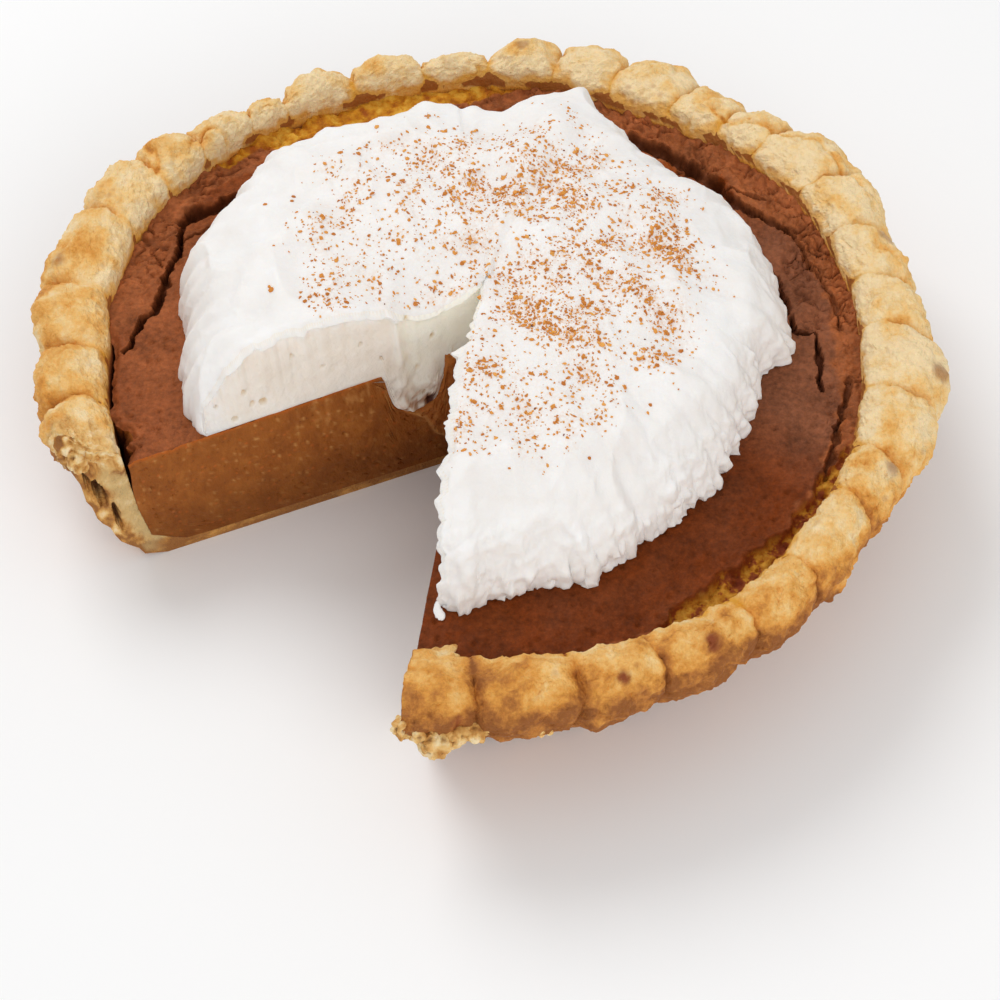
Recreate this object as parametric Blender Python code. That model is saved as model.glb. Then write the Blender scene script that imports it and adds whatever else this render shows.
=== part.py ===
"""A deep pumpkin pie with one sixth cut out: a crimped pastry crust, a baked filling and a mound of whipped cream.

Each piece is a loft of upright sections that turn round the tip of the missing slice. Azimuths are in degrees,
anticlockwise from +X, and the pie runs from the far cut round to the near cut.
"""

import math
import random

import bmesh
import bpy
import numpy as np
from mathutils import Matrix, Vector
from mathutils.bvhtree import BVHTree

MM = 0.001

# The missing slice lies between the two cuts, and takes a little more of the cream at the far one. Its tip is a
# little off the middle of the pie.
NEAR_CUT = 200.4
FAR_CUT = 260.2
CREAM_FAR_CUT = 262.6
TURN = 360.0
TIP_X = -1.5 * MM
TIP_Y = 3.24 * MM

# Crust, in millimetres: a flat base, a wall that leans outwards and a crimped rim round an oval section.
BASE_TOP = 3.0
WALL_OUTSIDE = ((94.0, 0.0), (100.5, 2.6), (106.4, 11.4), (111.0, 23.0), (113.2, 32.6))
WALL_INSIDE = ((101.0, 22.0), (97.5, 9.0), (88.0, BASE_TOP + 0.3))
RIM_AXIS = 41.0
RIM_CREST = 50.2
RIM_UNDERSIDE = 34.0
RIM_MIDDLE = 0.52
RIM_ANGLES = (-52.0, -22.0, 6.0, 34.0, 60.0, 86.0, 112.0, 140.0, 168.0)

# Reach of the rim and of the filling at each azimuth, in millimetres.
RIM_REACH = ((3, 125.5), (15, 124.5), (33, 131.0), (48, 123.0), (61, 127.0), (78, 125.5), (91, 119.0),
             (113, 122.5), (122, 119.5), (149, 130.5), (163, 128.0), (184, 121.0), (200, 119.5),
             (262, 126.0), (300, 125.3), (330, 122.5), (350, 128.0))
FILLING_REACH = ((13, 106.5), (33, 108.5), (60, 106.0), (80, 109.0), (109, 107.7), (130, 109.0), (147, 108.5),
                 (165, 105.0), (178, 101.0), (200, 101.0), (262, 103.0), (276, 105.5), (302, 108.0),
                 (328, 106.0), (354, 105.0))

# Crimps: the azimuth of each crease between two lobes, and how deep the creases are pinched.
CREASES = (268.4, 279.8, 290.0, 302.9, 313.1, 325.9, 334.7, 346.0, 357.7, 7.0, 17.5, 28.0, 39.3, 46.5, 55.2,
           66.0, 75.9, 86.8, 97.0, 108.0, 119.3, 125.8, 134.6, 143.0, 153.5, 167.5, 179.5, 189.5)
LOBE_STEPS = 5
CREASE_DEPTH = ((0, 3.2), (50, 4.2), (95, 6.0), (125, 5.0), (160, 4.0), (200, 3.8), (262, 3.0), (320, 3.0))
CREASE_SIDEWAYS = 0.75
CREASE_SLANT = ((0, 3.4), (50, 2.0), (95, 0.0), (200, 0.0), (262, 0.0), (300, 0.6), (330, 2.6))
CREASE_BOW = ((0, 1.4), (60, 0.6), (100, 0.0), (150, -1.6), (200, -1.6), (262, 1.6), (330, 1.7))

# Columns of sections that the filling and the cream share, besides the filling's own at the far cut.
WIDE_COLUMNS = 97

# Filling, in millimetres: a low dome with a cracked ring near the rim and its tip bitten away at the near cut.
GAP = 0.35
FILLING_EDGE = 40.9
FILLING_RISE = 4.2
FILLING_SPAN = 104.0
FILLING_RINGS = (75.0, 60.0, 45.0, 30.0, 24.0, 18.0, 12.0, 6.0)
CRACK_HALF_WIDTH = 1.4
CRACKS = ((3, 88.8, 3.0), (17, 90.0, 3.0), (28, 95.5, 2.6), (36, 98.5, 2.0), (44, 96.5, 4.2), (54, 93.0, 4.2),
          (62, 93.0, 0.0), (112, 97.0, 0.0), (130, 101.0, 2.2), (147, 98.5, 4.0), (158, 94.2, 4.8),
          (172, 95.6, 4.8), (181, 96.5, 0.4), (200, 96.0, 0.0), (262, 98.0, 0.0), (290, 101.0, 0.0),
          (300, 103.4, 2.8), (322, 103.2, 2.8), (333, 100.0, 0.0), (341, 96.0, 0.0), (349, 95.0, 4.2),
          (357, 94.3, 3.6))
BITE_RADIUS = 18.5
BITE_LENGTH = 9.0
BITE_WIDTH = 11.0
BITE_DEPTH = 18.0

# Whipped cream, in millimetres.
CREAM_REACH = ((10, 85.0), (22, 87.0), (32, 87.9), (39, 83.5), (50, 84.0), (56, 86.0), (62, 89.5), (69.5, 95.0),
               (75, 91.0), (84.7, 80.5), (91, 82.0), (99.4, 88.0), (108, 84.8), (117, 88.0), (130, 90.0),
               (143, 85.5), (157, 86.0), (166, 83.4), (175, 79.8), (192, 80.5), (200, 79.5), (262, 88.0),
               (267, 90.0), (274, 87.0), (294, 85.0), (303, 80.5), (320, 80.0), (337, 77.5), (350, 78.0),
               (356, 84.5))
CREAM_SHOULDER = ((30, 4.6), (50, 7.0), (70, 9.0), (100, 8.0), (130, 8.0), (160, 7.0), (200, 7.5), (262, 4.0),
                  (300, 3.6))
CREAM_THICKNESS = ((60, 27.5), (70, 29.0), (80, 27.5), (150, 28.0), (200, 29.5), (262, 26.5), (300, 25.5))
CREAM_ANGLES = (0.0, 12.0, 26.0, 40.0, 52.0, 62.0, 71.0, 78.0, 84.0, 87.5, 89.3)
CREAM_UNDERCUT = 1.4
CREAM_FLOOR_EDGE = 72.0
CREAM_SAG = 8.0
CREAM_SAG_RADIUS = 14.0
CREAM_SAG_SPAN = 13.0
CENTRE_DIP = 3.0
CENTRE_DIP_SPAN = 26.0
SWIRLS = ((0.9, 118.0, 31.0, 0.4), (0.7, 62.0, 23.0, 2.1), (0.4, 15.0, 15.0, 4.0))
SWIRL_CALM = 48.0

# Cinnamon: the largest flakes, as length and height in millimetres.
SPECKS = 60
SPECK_SIZE = (1.1, 2.0)
SPECK_HEIGHT = 0.5
SPECK_SPREAD = 0.78
SPECK_SEED = 41

# How far back the top of the rim has crumbled from the near cut, and along how much of the rim, in millimetres.
BREAK_BACK = 10.0
BREAK_LENGTH = 20.0

# Torn bits of pastry at both ends of the rim: azimuth, radius, height, the three sizes and the turn in degrees.
TORN_FLAKES = ((264.2, 104.4, 45.4, 9.0, 8.5, 2.4, 24.0), (259.9, 124.4, 39.6, 8.0, 4.5, 7.0, -20.0),
               (262.0, 122.6, 36.0, 8.5, 6.5, 8.0, 30.0), (264.2, 124.6, 32.4, 9.5, 8.0, 9.0, 10.0),
               (266.4, 123.2, 34.0, 8.0, 6.5, 8.0, -12.0), (269.0, 122.8, 35.6, 7.0, 7.5, 5.5, 0.0),
               (276.4, 123.6, 37.0, 5.0, 4.5, 6.5, 10.0), (192.3, 110.6, 45.6, 9.0, 6.0, 6.0, 20.0),
               (195.0, 113.0, 43.0, 8.0, 7.0, 7.0, -20.0), (197.4, 114.6, 39.6, 6.6, 7.0, 8.6, 10.0),
               (197.6, 107.6, 44.0, 4.5, 7.0, 6.0, 12.0))
FLAKE_SQUARENESS = 3.6

# Hollows between the pastry layers, on the near cut: distance, height, length, width, depth and tilt in degrees.
LAYER_HOLLOWS = ((111.9, 39.4, 6.5, 2.2, 10.0, 110.0), (111.2, 33.6, 3.4, 2.0, 8.0, 80.0),
                 (108.6, 30.6, 8.0, 3.4, 10.0, 76.0), (105.6, 21.0, 11.5, 2.0, 6.0, 85.0))


def around(keys, azimuth):
    """The value at each azimuth of a smooth closed curve through (azimuth, value) pairs."""
    angles, values = np.array(keys, float).T
    angles = np.concatenate([angles[-1:] - TURN, angles, angles[:1] + TURN])
    values = np.concatenate([values[-1:], values, values[:1]])
    azimuth = np.mod(azimuth, TURN)
    at = np.clip(np.searchsorted(angles, azimuth, side="right") - 1, 0, len(angles) - 2)
    share = (azimuth - angles[at]) / (angles[at + 1] - angles[at])
    share = share * share * (3 - 2 * share)
    return values[at] + share * (values[at + 1] - values[at])


def pie_angle(azimuth):
    """An azimuth counted on from the far cut, so that it never wraps within the pie."""
    return azimuth if azimuth >= FAR_CUT else azimuth + TURN


def lobe_columns():
    """Azimuth and lobe fullness of every column: fullness is 0 in a crease and 1 over the middle of a lobe."""
    creases = [FAR_CUT - 4.0] + [pie_angle(a) for a in CREASES] + [NEAR_CUT + TURN + 3.0]
    azimuths = []
    fullness = []
    for start, end in zip(creases, creases[1:]):
        for step in range(LOBE_STEPS):
            share = step / LOBE_STEPS
            azimuths.append(start + share * (end - start))
            fullness.append((1 - abs(2 * share - 1) ** 2.2) ** 0.7)
    azimuths = np.array(azimuths)
    fullness = np.array(fullness)
    inside = (azimuths > FAR_CUT + 0.4) & (azimuths < NEAR_CUT + TURN - 0.4)
    ends = (FAR_CUT, NEAR_CUT + TURN)
    end_fullness = np.interp(ends, azimuths, fullness)
    azimuths = np.concatenate([ends[:1], azimuths[inside], ends[1:]])
    return azimuths, np.concatenate([end_fullness[:1], fullness[inside], end_fullness[1:]])


def placed(azimuth, radius, height):
    """Points in metres from an azimuth in degrees and a radius and a height in millimetres."""
    turn = np.radians(azimuth)
    return np.stack([TIP_X + MM * radius * np.cos(turn), TIP_Y + MM * radius * np.sin(turn),
                     MM * height + 0 * radius], axis=-1)


def smooth(value, low, high):
    """0 below low, 1 above high and an S-curve between them."""
    share = np.clip((value - low) / (high - low), 0, 1)
    return share * share * (3 - 2 * share)


def broken_back(azimuth, radius, height):
    """Degrees by which the crust has crumbled back from the near cut, which spares its inner wall and its foot."""
    from_cut = np.radians(NEAR_CUT + TURN - azimuth)[:, None] * radius
    most = BREAK_BACK * smooth(radius, 105.0, 116.0) * smooth(height, 26.0, 42.0)
    return np.degrees(most * np.clip(1 - from_cut / BREAK_LENGTH, 0, 1) / np.maximum(radius, 20.0))


def wall_inside(azimuth):
    """Radius of the inner wall at each of its rows, which lean out further where the filling reaches further."""
    reach = around(FILLING_REACH, azimuth)
    lean = 0.3 * (reach - FILLING_REACH[-1][1])
    top, middle, bottom = (radius for radius, _ in WALL_INSIDE)
    return np.stack([reach, top + lean, middle + 0 * reach, bottom + 0 * reach], axis=1)


def crust_grid(azimuth, fullness):
    """Section points of the crust for each column, from the middle of the base out, over the rim and back in."""
    columns = len(azimuth)
    reach = around(RIM_REACH, azimuth)[:, None]
    inner = around(FILLING_REACH, azimuth)[:, None]
    middle = inner + RIM_MIDDLE * (reach - inner)
    angles = np.array(RIM_ANGLES)
    cosine, sine = np.cos(np.radians(angles)), np.sin(np.radians(angles))
    half = np.where(cosine > 0, reach - middle, middle - inner)
    rise = np.where(sine > 0, RIM_CREST - RIM_AXIS, RIM_AXIS - RIM_UNDERSIDE)
    weight = np.interp(angles, (-60.0, 0.0, 70.0, 125.0, 175.0), (0.45, 1.0, 1.0, 0.45, 0.1))
    pinch = (1 - fullness[:, None]) * weight
    sink = around(CREASE_DEPTH, azimuth)[:, None]
    rim_radius = middle + (half - pinch * np.minimum(CREASE_SIDEWAYS * sink, half / 2)) * cosine
    rim_height = RIM_AXIS + (rise - pinch * sink) * sine
    taper = np.clip(np.minimum(azimuth - FAR_CUT, NEAR_CUT + TURN - azimuth) / 8.0, 0, 1)
    slant = around(CREASE_SLANT, azimuth)[:, None] * np.interp(angles, (-52.0, 168.0), (-1.0, 1.0))
    bow = around(CREASE_BOW, azimuth)[:, None] * np.cos(np.radians((angles - 58.0) * 0.8))
    rim_azimuth = azimuth[:, None] + taper[:, None] * (slant + bow)
    outside = np.array(WALL_OUTSIDE)
    inside_radius = wall_inside(azimuth)
    inside_height = [FILLING_EDGE - 1.4] + [height for _, height in WALL_INSIDE]
    zero = np.zeros((columns, 1))
    radius = np.concatenate([zero, np.tile(outside[:, 0], (columns, 1)), rim_radius, inside_radius, zero], axis=1)
    height = np.concatenate([zero, np.tile(outside[:, 1], (columns, 1)), rim_height,
                             np.tile(inside_height, (columns, 1)), zero + BASE_TOP], axis=1)
    turn = np.repeat(azimuth[:, None], radius.shape[1], axis=1)
    turn[:, 1 + len(outside):1 + len(outside) + len(angles)] = rim_azimuth
    return placed(turn - broken_back(azimuth, radius, height), radius, height)


def bite(azimuth, radius):
    """Depth of the hollow where the filling's tip has broken away at the near cut, in millimetres."""
    across = radius * np.sin(np.radians(np.clip(NEAR_CUT + TURN - azimuth, 0, 90)))
    far = ((radius - BITE_RADIUS) / BITE_LENGTH) ** 2 + (across / BITE_WIDTH) ** 2
    return BITE_DEPTH * np.clip(1 - far, 0, None) ** 0.6


def filling_height(azimuth, radius):
    """Height of the filling's top without its cracks, in millimetres."""
    return FILLING_EDGE + FILLING_RISE * (1 - radius / FILLING_SPAN) - bite(azimuth, radius)


def filling_grid(azimuth):
    """Section points of the filling, from the middle of its floor out, up the side and back over the top."""
    columns = len(azimuth)
    zero = np.zeros(columns)
    side = wall_inside(azimuth)[:, ::-1] - GAP
    side_height = [BASE_TOP + 0.3 + GAP, WALL_INSIDE[1][1] + GAP, WALL_INSIDE[0][1], FILLING_EDGE - 1.4]
    radius = [zero] + list(side.T)
    height = [zero + BASE_TOP + GAP] + [zero + h for h in side_height]
    crack_radius = around([key[:2] for key in CRACKS], azimuth)
    crack_depth = around([(key[0], key[2]) for key in CRACKS], azimuth)
    shelf = np.maximum(side[:, -1] - 1.6, crack_radius + 1.6 * CRACK_HALF_WIDTH)
    rings = [np.minimum(shelf, side[:, -1] - 0.5), crack_radius + CRACK_HALF_WIDTH, crack_radius,
             crack_radius - CRACK_HALF_WIDTH]
    for number, ring in enumerate(rings + [zero + r for r in FILLING_RINGS]):
        ring = np.minimum(ring, side[:, -1] - 0.3 - 0.9 * number) if number < len(rings) else ring
        radius.append(ring)
        height.append(filling_height(azimuth, ring) - (crack_depth if number == 2 else 0))
    radius.append(zero)
    height.append(filling_height(azimuth, zero))
    radius = np.stack(radius, axis=1)
    return placed(np.repeat(azimuth[:, None], radius.shape[1], axis=1), radius, np.stack(height, axis=1))


def cream_height(azimuth, radius, thickness_share):
    """Height of the cream's top in millimetres, where the thickness share falls from 1 to 0 at its edge."""
    swirl = sum(depth * np.sin(radius * np.cos(np.radians(azimuth - heading)) / length * 2 * math.pi + phase)
                for depth, heading, length, phase in SWIRLS)
    swirl = swirl * np.clip(radius / SWIRL_CALM, 0, 1) ** 2
    across = radius * np.sin(np.radians(np.clip(NEAR_CUT + TURN - azimuth, 0, 90)))
    sag = CREAM_SAG * np.exp(-(((radius - CREAM_SAG_RADIUS) ** 2 + across ** 2) / CREAM_SAG_SPAN ** 2))
    dip = CENTRE_DIP * np.exp(-(radius / CENTRE_DIP_SPAN) ** 2)
    thickness = around(CREAM_THICKNESS, azimuth) + swirl - sag - dip
    ground = FILLING_EDGE + FILLING_RISE * (1 - radius / FILLING_SPAN)
    return ground + GAP + thickness * thickness_share


def cream_grid(azimuth):
    """Section points of the cream, from the middle of its underside out, up the side and back over the top."""
    zero = np.zeros(len(azimuth))
    reach = around(CREAM_REACH, azimuth) + 0.9 * np.sin(azimuth * 0.9) * np.sin(azimuth * 0.31)
    power = around(CREAM_SHOULDER, azimuth)
    radius = []
    height = []
    for ring in (0.0,) + FILLING_RINGS[:0:-1] + (CREAM_FLOOR_EDGE,):
        radius.append(zero + ring)
        height.append(filling_height(azimuth, radius[-1]) + GAP + 0.07 * bite(azimuth, radius[-1]))
    radius.append(reach - CREAM_UNDERCUT)
    height.append(filling_height(azimuth, radius[-1]) + GAP)
    for angle in CREAM_ANGLES[1:]:
        ring = reach * math.cos(math.radians(angle)) ** (2 / power)
        radius.append(ring)
        height.append(cream_height(azimuth, ring, math.sin(math.radians(angle))))
    radius.append(zero)
    height.append(np.full(len(azimuth), cream_height(NEAR_CUT + TURN, 0.0, 1.0)))
    radius = np.stack(radius, axis=1)
    return placed(np.repeat(azimuth[:, None], radius.shape[1], axis=1), radius, np.stack(height, axis=1))


def loft(name, grid, mirrored_rows, collection, material):
    """One closed solid from a grid of section points. Mirrored rows are split along the other diagonal."""
    mesh_data = bmesh.new()
    rows = [[mesh_data.verts.new(point) for point in section] for section in grid]
    count = len(rows[0])
    for left, right in zip(rows, rows[1:]):
        for i in range(count):
            k = (i + 1) % count
            if i == count - 1:
                mesh_data.faces.new((left[i], left[k], right[k], right[i]))
            elif i in mirrored_rows:
                mesh_data.faces.new((left[i], left[k], right[i]))
                mesh_data.faces.new((left[k], right[k], right[i]))
            else:
                mesh_data.faces.new((left[i], left[k], right[k]))
                mesh_data.faces.new((left[i], right[k], right[i]))
    mesh_data.faces.new(rows[0][::-1])
    mesh_data.faces.new(rows[-1])
    bmesh.ops.remove_doubles(mesh_data, verts=mesh_data.verts[:], dist=1e-6)
    bmesh.ops.recalc_face_normals(mesh_data, faces=mesh_data.faces[:])
    return finished(name, mesh_data, collection, material)


def finished(name, mesh_data, collection, material):
    mesh = bpy.data.meshes.new(name)
    mesh_data.to_mesh(mesh)
    mesh_data.free()
    mesh.shade_smooth()
    mesh.set_sharp_from_angle(angle=math.radians(38))
    if material:
        mesh.materials.append(material)
    obj = bpy.data.objects.new(name, mesh)
    collection.objects.link(obj)
    return obj


def torn_flake(azimuth, radius, height, length, width, thickness, turn, collection):
    """A broken bit of pastry: a rounded block with its surface pulled out of true."""
    draw = random.Random(int(azimuth * 10))
    mesh_data = bmesh.new()
    bmesh.ops.create_icosphere(mesh_data, subdivisions=2, radius=1.0)
    for vertex in mesh_data.verts:
        square = sum(abs(part) ** FLAKE_SQUARENESS for part in vertex.co) ** (1 / FLAKE_SQUARENESS)
        vertex.co *= 0.5 * draw.uniform(0.88, 1.12) / square
        vertex.co = Vector((vertex.co.x * length, vertex.co.y * width, vertex.co.z * thickness)) * MM
    place = Matrix.Translation(Vector(placed(azimuth, radius, height)))
    place @= Matrix.Rotation(math.radians(azimuth + turn), 4, "Z") @ Matrix.Rotation(math.radians(-14), 4, "Y")
    bmesh.ops.transform(mesh_data, matrix=place, verts=mesh_data.verts[:])
    return finished("torn_flake", mesh_data, collection, None)


def layer_hollow(distance, height, length, width, depth, tilt, collection):
    """A cutter for one hollow in the near cut: an uneven ellipsoid whose middle lies on the cut."""
    draw = random.Random(int(distance * 10))
    mesh_data = bmesh.new()
    bmesh.ops.create_icosphere(mesh_data, subdivisions=2, radius=0.5)
    for vertex in mesh_data.verts:
        vertex.co *= draw.uniform(0.86, 1.14)
        vertex.co = Vector((vertex.co.x * length, vertex.co.y * depth, vertex.co.z * width)) * MM
    place = Matrix.Translation(Vector(placed(NEAR_CUT, distance, height)))
    place @= Matrix.Rotation(math.radians(NEAR_CUT), 4, "Z") @ Matrix.Rotation(math.radians(-tilt), 4, "Y")
    bmesh.ops.transform(mesh_data, matrix=place, verts=mesh_data.verts[:])
    cutter = finished("layer_hollow", mesh_data, collection, None)
    cutter.display_type = "WIRE"
    cutter.hide_render = True


def speck(surface, draw, collection):
    """One flattened flake of cinnamon, half sunk where it lies on the cream."""
    azimuth = draw.uniform(CREAM_FAR_CUT + 2, NEAR_CUT + TURN - 3)
    share = SPECK_SPREAD * math.sqrt(draw.uniform(0.012, 1.0))
    size = draw.uniform(*SPECK_SIZE)
    slender = draw.uniform(0.55, 0.95)
    turn = draw.uniform(0, TURN)
    top = placed(azimuth, share * float(around(CREAM_REACH, azimuth)), 2 * RIM_CREST)
    spot, normal, _, _ = surface.ray_cast(Vector(top), Vector((0, 0, -1)))
    mesh_data = bmesh.new()
    bmesh.ops.create_icosphere(mesh_data, subdivisions=1, radius=0.5)
    for vertex in mesh_data.verts:
        vertex.co *= draw.uniform(0.85, 1.15)
        vertex.co = Vector((vertex.co.x * size, vertex.co.y * size * slender, vertex.co.z * 2 * SPECK_HEIGHT)) * MM
    place = Matrix.Translation(spot) @ normal.to_track_quat("Z", "Y").to_matrix().to_4x4()
    bmesh.ops.transform(mesh_data, matrix=place @ Matrix.Rotation(math.radians(turn), 4, "Z"),
                        verts=mesh_data.verts[:])
    return finished("speck", mesh_data, collection, None)


def combine(body, pieces, operation):
    """Joins a collection of small closed pieces to a body, or cuts them out, by one Boolean, and removes them."""
    change = body.modifiers.new("change", "BOOLEAN")
    change.operation = operation
    change.operand_type = "COLLECTION"
    change.collection = pieces
    bpy.context.view_layer.update()
    changed = bpy.data.meshes.new_from_object(body.evaluated_get(bpy.context.evaluated_depsgraph_get()))
    body.modifiers.clear()
    body.data = changed
    for piece in list(pieces.objects):
        bpy.data.objects.remove(piece)
    bpy.data.collections.remove(pieces)


def new_collection(name):
    collection = bpy.data.collections.new(name)
    bpy.context.scene.collection.children.link(collection)
    return collection


def new_material(name, color, roughness):
    material = bpy.data.materials.new(name)
    material.use_nodes = True
    shader = material.node_tree.nodes["Principled BSDF"]
    shader.inputs["Base Color"].default_value = (*color, 1.0)
    shader.inputs["Roughness"].default_value = roughness
    shader.inputs["Metallic"].default_value = 0.0
    return material


def make_crust(pie, azimuth, fullness):
    material = new_material("baked_pastry", (0.75, 0.51, 0.23), 0.7)
    crust = loft("crust", crust_grid(azimuth, fullness), (), pie, material)
    flakes = new_collection("torn_flakes")
    for flake in TORN_FLAKES:
        torn_flake(*flake, flakes)
    combine(crust, flakes, "UNION")
    hollows = new_collection("layer_hollows")
    for hollow in LAYER_HOLLOWS:
        layer_hollow(*hollow, hollows)
    combine(crust, hollows, "DIFFERENCE")


def make_filling(pie, azimuth):
    material = new_material("pumpkin_custard", (0.26, 0.085, 0.035), 0.55)
    loft("filling", filling_grid(azimuth), (), pie, material)


def make_cream(pie, azimuth):
    material = new_material("whipped_cream", (0.9, 0.88, 0.84), 0.6)
    underside_rows = range(len(FILLING_RINGS) + 1)
    cream = loft("cream", cream_grid(azimuth), underside_rows, pie, material)
    surface = BVHTree.FromObject(cream, bpy.context.evaluated_depsgraph_get())
    draw = random.Random(SPECK_SEED)
    specks = new_collection("cinnamon_specks")
    for _ in range(SPECKS):
        speck(surface, draw, specks)
    combine(cream, specks, "UNION")


def main():
    for obj in list(bpy.data.objects):
        bpy.data.objects.remove(obj)
    pie = new_collection("pumpkin_pie")
    azimuth, fullness = lobe_columns()
    make_crust(pie, azimuth, fullness)
    cream_columns = np.linspace(CREAM_FAR_CUT, NEAR_CUT + TURN, WIDE_COLUMNS)
    make_filling(pie, np.concatenate([[FAR_CUT], cream_columns]))
    make_cream(pie, cream_columns)


main()
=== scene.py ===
"""Looks of the pumpkin pie: a finely modelled crust, filling and cream, with grains of cinnamon and studio light.

Lengths are in millimetres until Shape.make turns them into metres. Azimuths, called az, are in degrees, anticlockwise
from +X about the missing slice's tip. Each piece is a sheet of points that runs round the pie from the far cut to the
near cut, with a face across each cut. A grid of points has a column for each azimuth and a row for each place along
the section. Tables of pairs that around() reads hold (azimuth, value). The last numbers of a call of noise, ridge,
layers or cell_distance are the size of its bumps, its seed and, for layers, how many sizes it adds up.
"""

import math
import random

import bmesh
import bpy
import numpy as np
from mathutils import Matrix, Vector
from mathutils.bvhtree import BVHTree

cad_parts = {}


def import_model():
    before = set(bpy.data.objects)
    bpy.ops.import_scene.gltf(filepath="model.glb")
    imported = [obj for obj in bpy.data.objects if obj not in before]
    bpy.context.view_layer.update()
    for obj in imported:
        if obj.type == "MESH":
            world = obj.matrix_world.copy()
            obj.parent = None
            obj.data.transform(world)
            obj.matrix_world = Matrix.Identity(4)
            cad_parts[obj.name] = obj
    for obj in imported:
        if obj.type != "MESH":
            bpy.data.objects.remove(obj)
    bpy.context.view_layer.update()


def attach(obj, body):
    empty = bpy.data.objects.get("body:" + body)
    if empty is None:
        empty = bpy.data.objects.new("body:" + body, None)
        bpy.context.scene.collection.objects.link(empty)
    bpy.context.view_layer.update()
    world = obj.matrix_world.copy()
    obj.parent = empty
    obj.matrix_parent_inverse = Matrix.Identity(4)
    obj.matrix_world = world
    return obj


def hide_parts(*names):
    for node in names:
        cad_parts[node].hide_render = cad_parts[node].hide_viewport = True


MM = 0.001
TURN = 360.0

# Frame of the pie.
NEAR_CUT = 200.4
FAR_CUT = 260.2
CREAM_FAR_CUT = 262.6
PIE_END = NEAR_CUT + TURN
TIP_X = -1.5
TIP_Y = 3.24

# Crust.
BASE_TOP = 3.0
WALL_OUTSIDE = ((94.0, 0.0), (100.5, 2.6), (106.4, 11.4), (111.0, 23.0), (113.2, 32.6))
# Radius and height from which the outside of the wall is rough.
WALL_FOOT = (92.0, 0.4)
WALL_INSIDE = ((101.0, 22.0), (97.5, 9.0), (88.0, BASE_TOP + 0.3))
WALL_LEAN = 0.3
RIM_AXIS = 41.0
RIM_CREST = 50.2
RIM_UNDERSIDE = 34.0
RIM_MIDDLE = 0.52
RIM_START = -52.0
RIM_TOP = 80.0
RIM_END = 168.0
RIM_RADIUS = 118.0
RIM_REACH = ((3, 125.5), (15, 124.5), (33, 131.0), (48, 123.0), (61, 127.0), (78, 125.5), (91, 119.0),
             (113, 122.5), (122, 119.5), (149, 130.5), (163, 128.0), (184, 121.0), (200, 119.5),
             (262, 126.0), (300, 125.3), (330, 122.5), (350, 128.0))
FILLING_REACH = ((13, 106.5), (33, 108.5), (60, 106.0), (80, 109.0), (109, 107.7), (130, 109.0), (147, 108.5),
                 (165, 105.0), (178, 101.0), (200, 101.0), (262, 103.0), (276, 105.5), (302, 108.0),
                 (328, 106.0), (354, 105.0))
CREASES = (267.4, 279.8, 290.0, 302.9, 313.1, 325.9, 334.7, 346.0, 357.7, 7.0, 17.5, 28.0, 39.3, 46.5, 55.2,
           66.0, 75.9, 86.8, 97.0, 108.0, 119.3, 125.8, 134.6, 143.0, 153.5, 167.5, 179.5, 189.5)
CREASE_DEPTH = ((0, 3.2), (50, 4.2), (95, 6.0), (125, 5.0), (160, 4.0), (200, 3.8), (262, 3.0), (320, 3.0))
PINCH_DEPTH = ((0, 1.4), (70, 1.8), (110, 2.4), (150, 2.0), (200, 1.5), (262, 1.3), (320, 1.4))
CREASE_SIDEWAYS = 0.75
CREASE_SLANT = ((0, 3.4), (50, 2.0), (95, 0.0), (200, 0.0), (262, 0.0), (300, 0.6), (330, 2.6))
CREASE_BOW = ((0, 1.4), (60, 0.6), (100, 0.0), (150, -1.6), (200, -1.6), (262, 1.6), (330, 1.7))
LOBE_STEPS = 27
LOBE_SEED = 7
LOBE_DRAWS = 64
BASE_RADII = (0.0, 30.0, 60.0, 80.0, 94.0)
CREASE_UNEVEN = 0.25
PINCH_WEIGHT = ((-60.0, 0.0, 70.0, 125.0, 175.0), (0.45, 1.0, 1.0, 0.45, 0.1))
OUTER_WALL_ROWS = 13
RIM_ROWS = 38
CRUST_CUT_ROWS = 26
BREAK_BACK = 10.0
BREAK_LENGTH = 20.0
FLAKE_SUBDIVISIONS = 4
# Burnt spots: azimuth, radius, size and strength.
BURNT_SPOTS = ((286.3, 120.5, 2.2, 1.0), (297.9, 120.1, 3.0, 1.0), (351.9, 126.0, 3.2, 0.6), (266.6, 124.0, 1.4, 0.9),
               (16.0, 121.0, 2.6, 0.5), (335.0, 119.0, 2.4, 0.6), (163.0, 122.0, 2.8, 0.5), (82.0, 118.0, 2.4, 0.5))
# Torn bits at both cuts: azimuth, radius, height, length, width, thickness and turn.
TORN_FLAKES = ((264.2, 106.0, 45.2, 9.0, 8.5, 2.4, 24.0), (260.4, 124.0, 41.4, 6.5, 4.5, 6.0, -20.0),
               (262.2, 122.8, 39.4, 8.5, 6.5, 8.0, 30.0), (264.0, 124.2, 36.4, 9.0, 8.0, 9.0, 10.0),
               (266.2, 123.0, 38.0, 8.0, 6.5, 8.0, -12.0), (268.4, 122.6, 39.2, 7.0, 7.5, 5.5, 0.0),
               (276.4, 122.4, 37.6, 4.5, 4.0, 4.5, 10.0), (192.3, 110.6, 45.2, 8.0, 6.0, 5.0, 20.0),
               (194.6, 111.6, 43.6, 7.0, 6.5, 6.0, -20.0), (197.0, 112.0, 40.2, 6.0, 5.5, 7.0, 10.0),
               (197.6, 107.6, 44.0, 4.5, 6.0, 5.0, 12.0))
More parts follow.
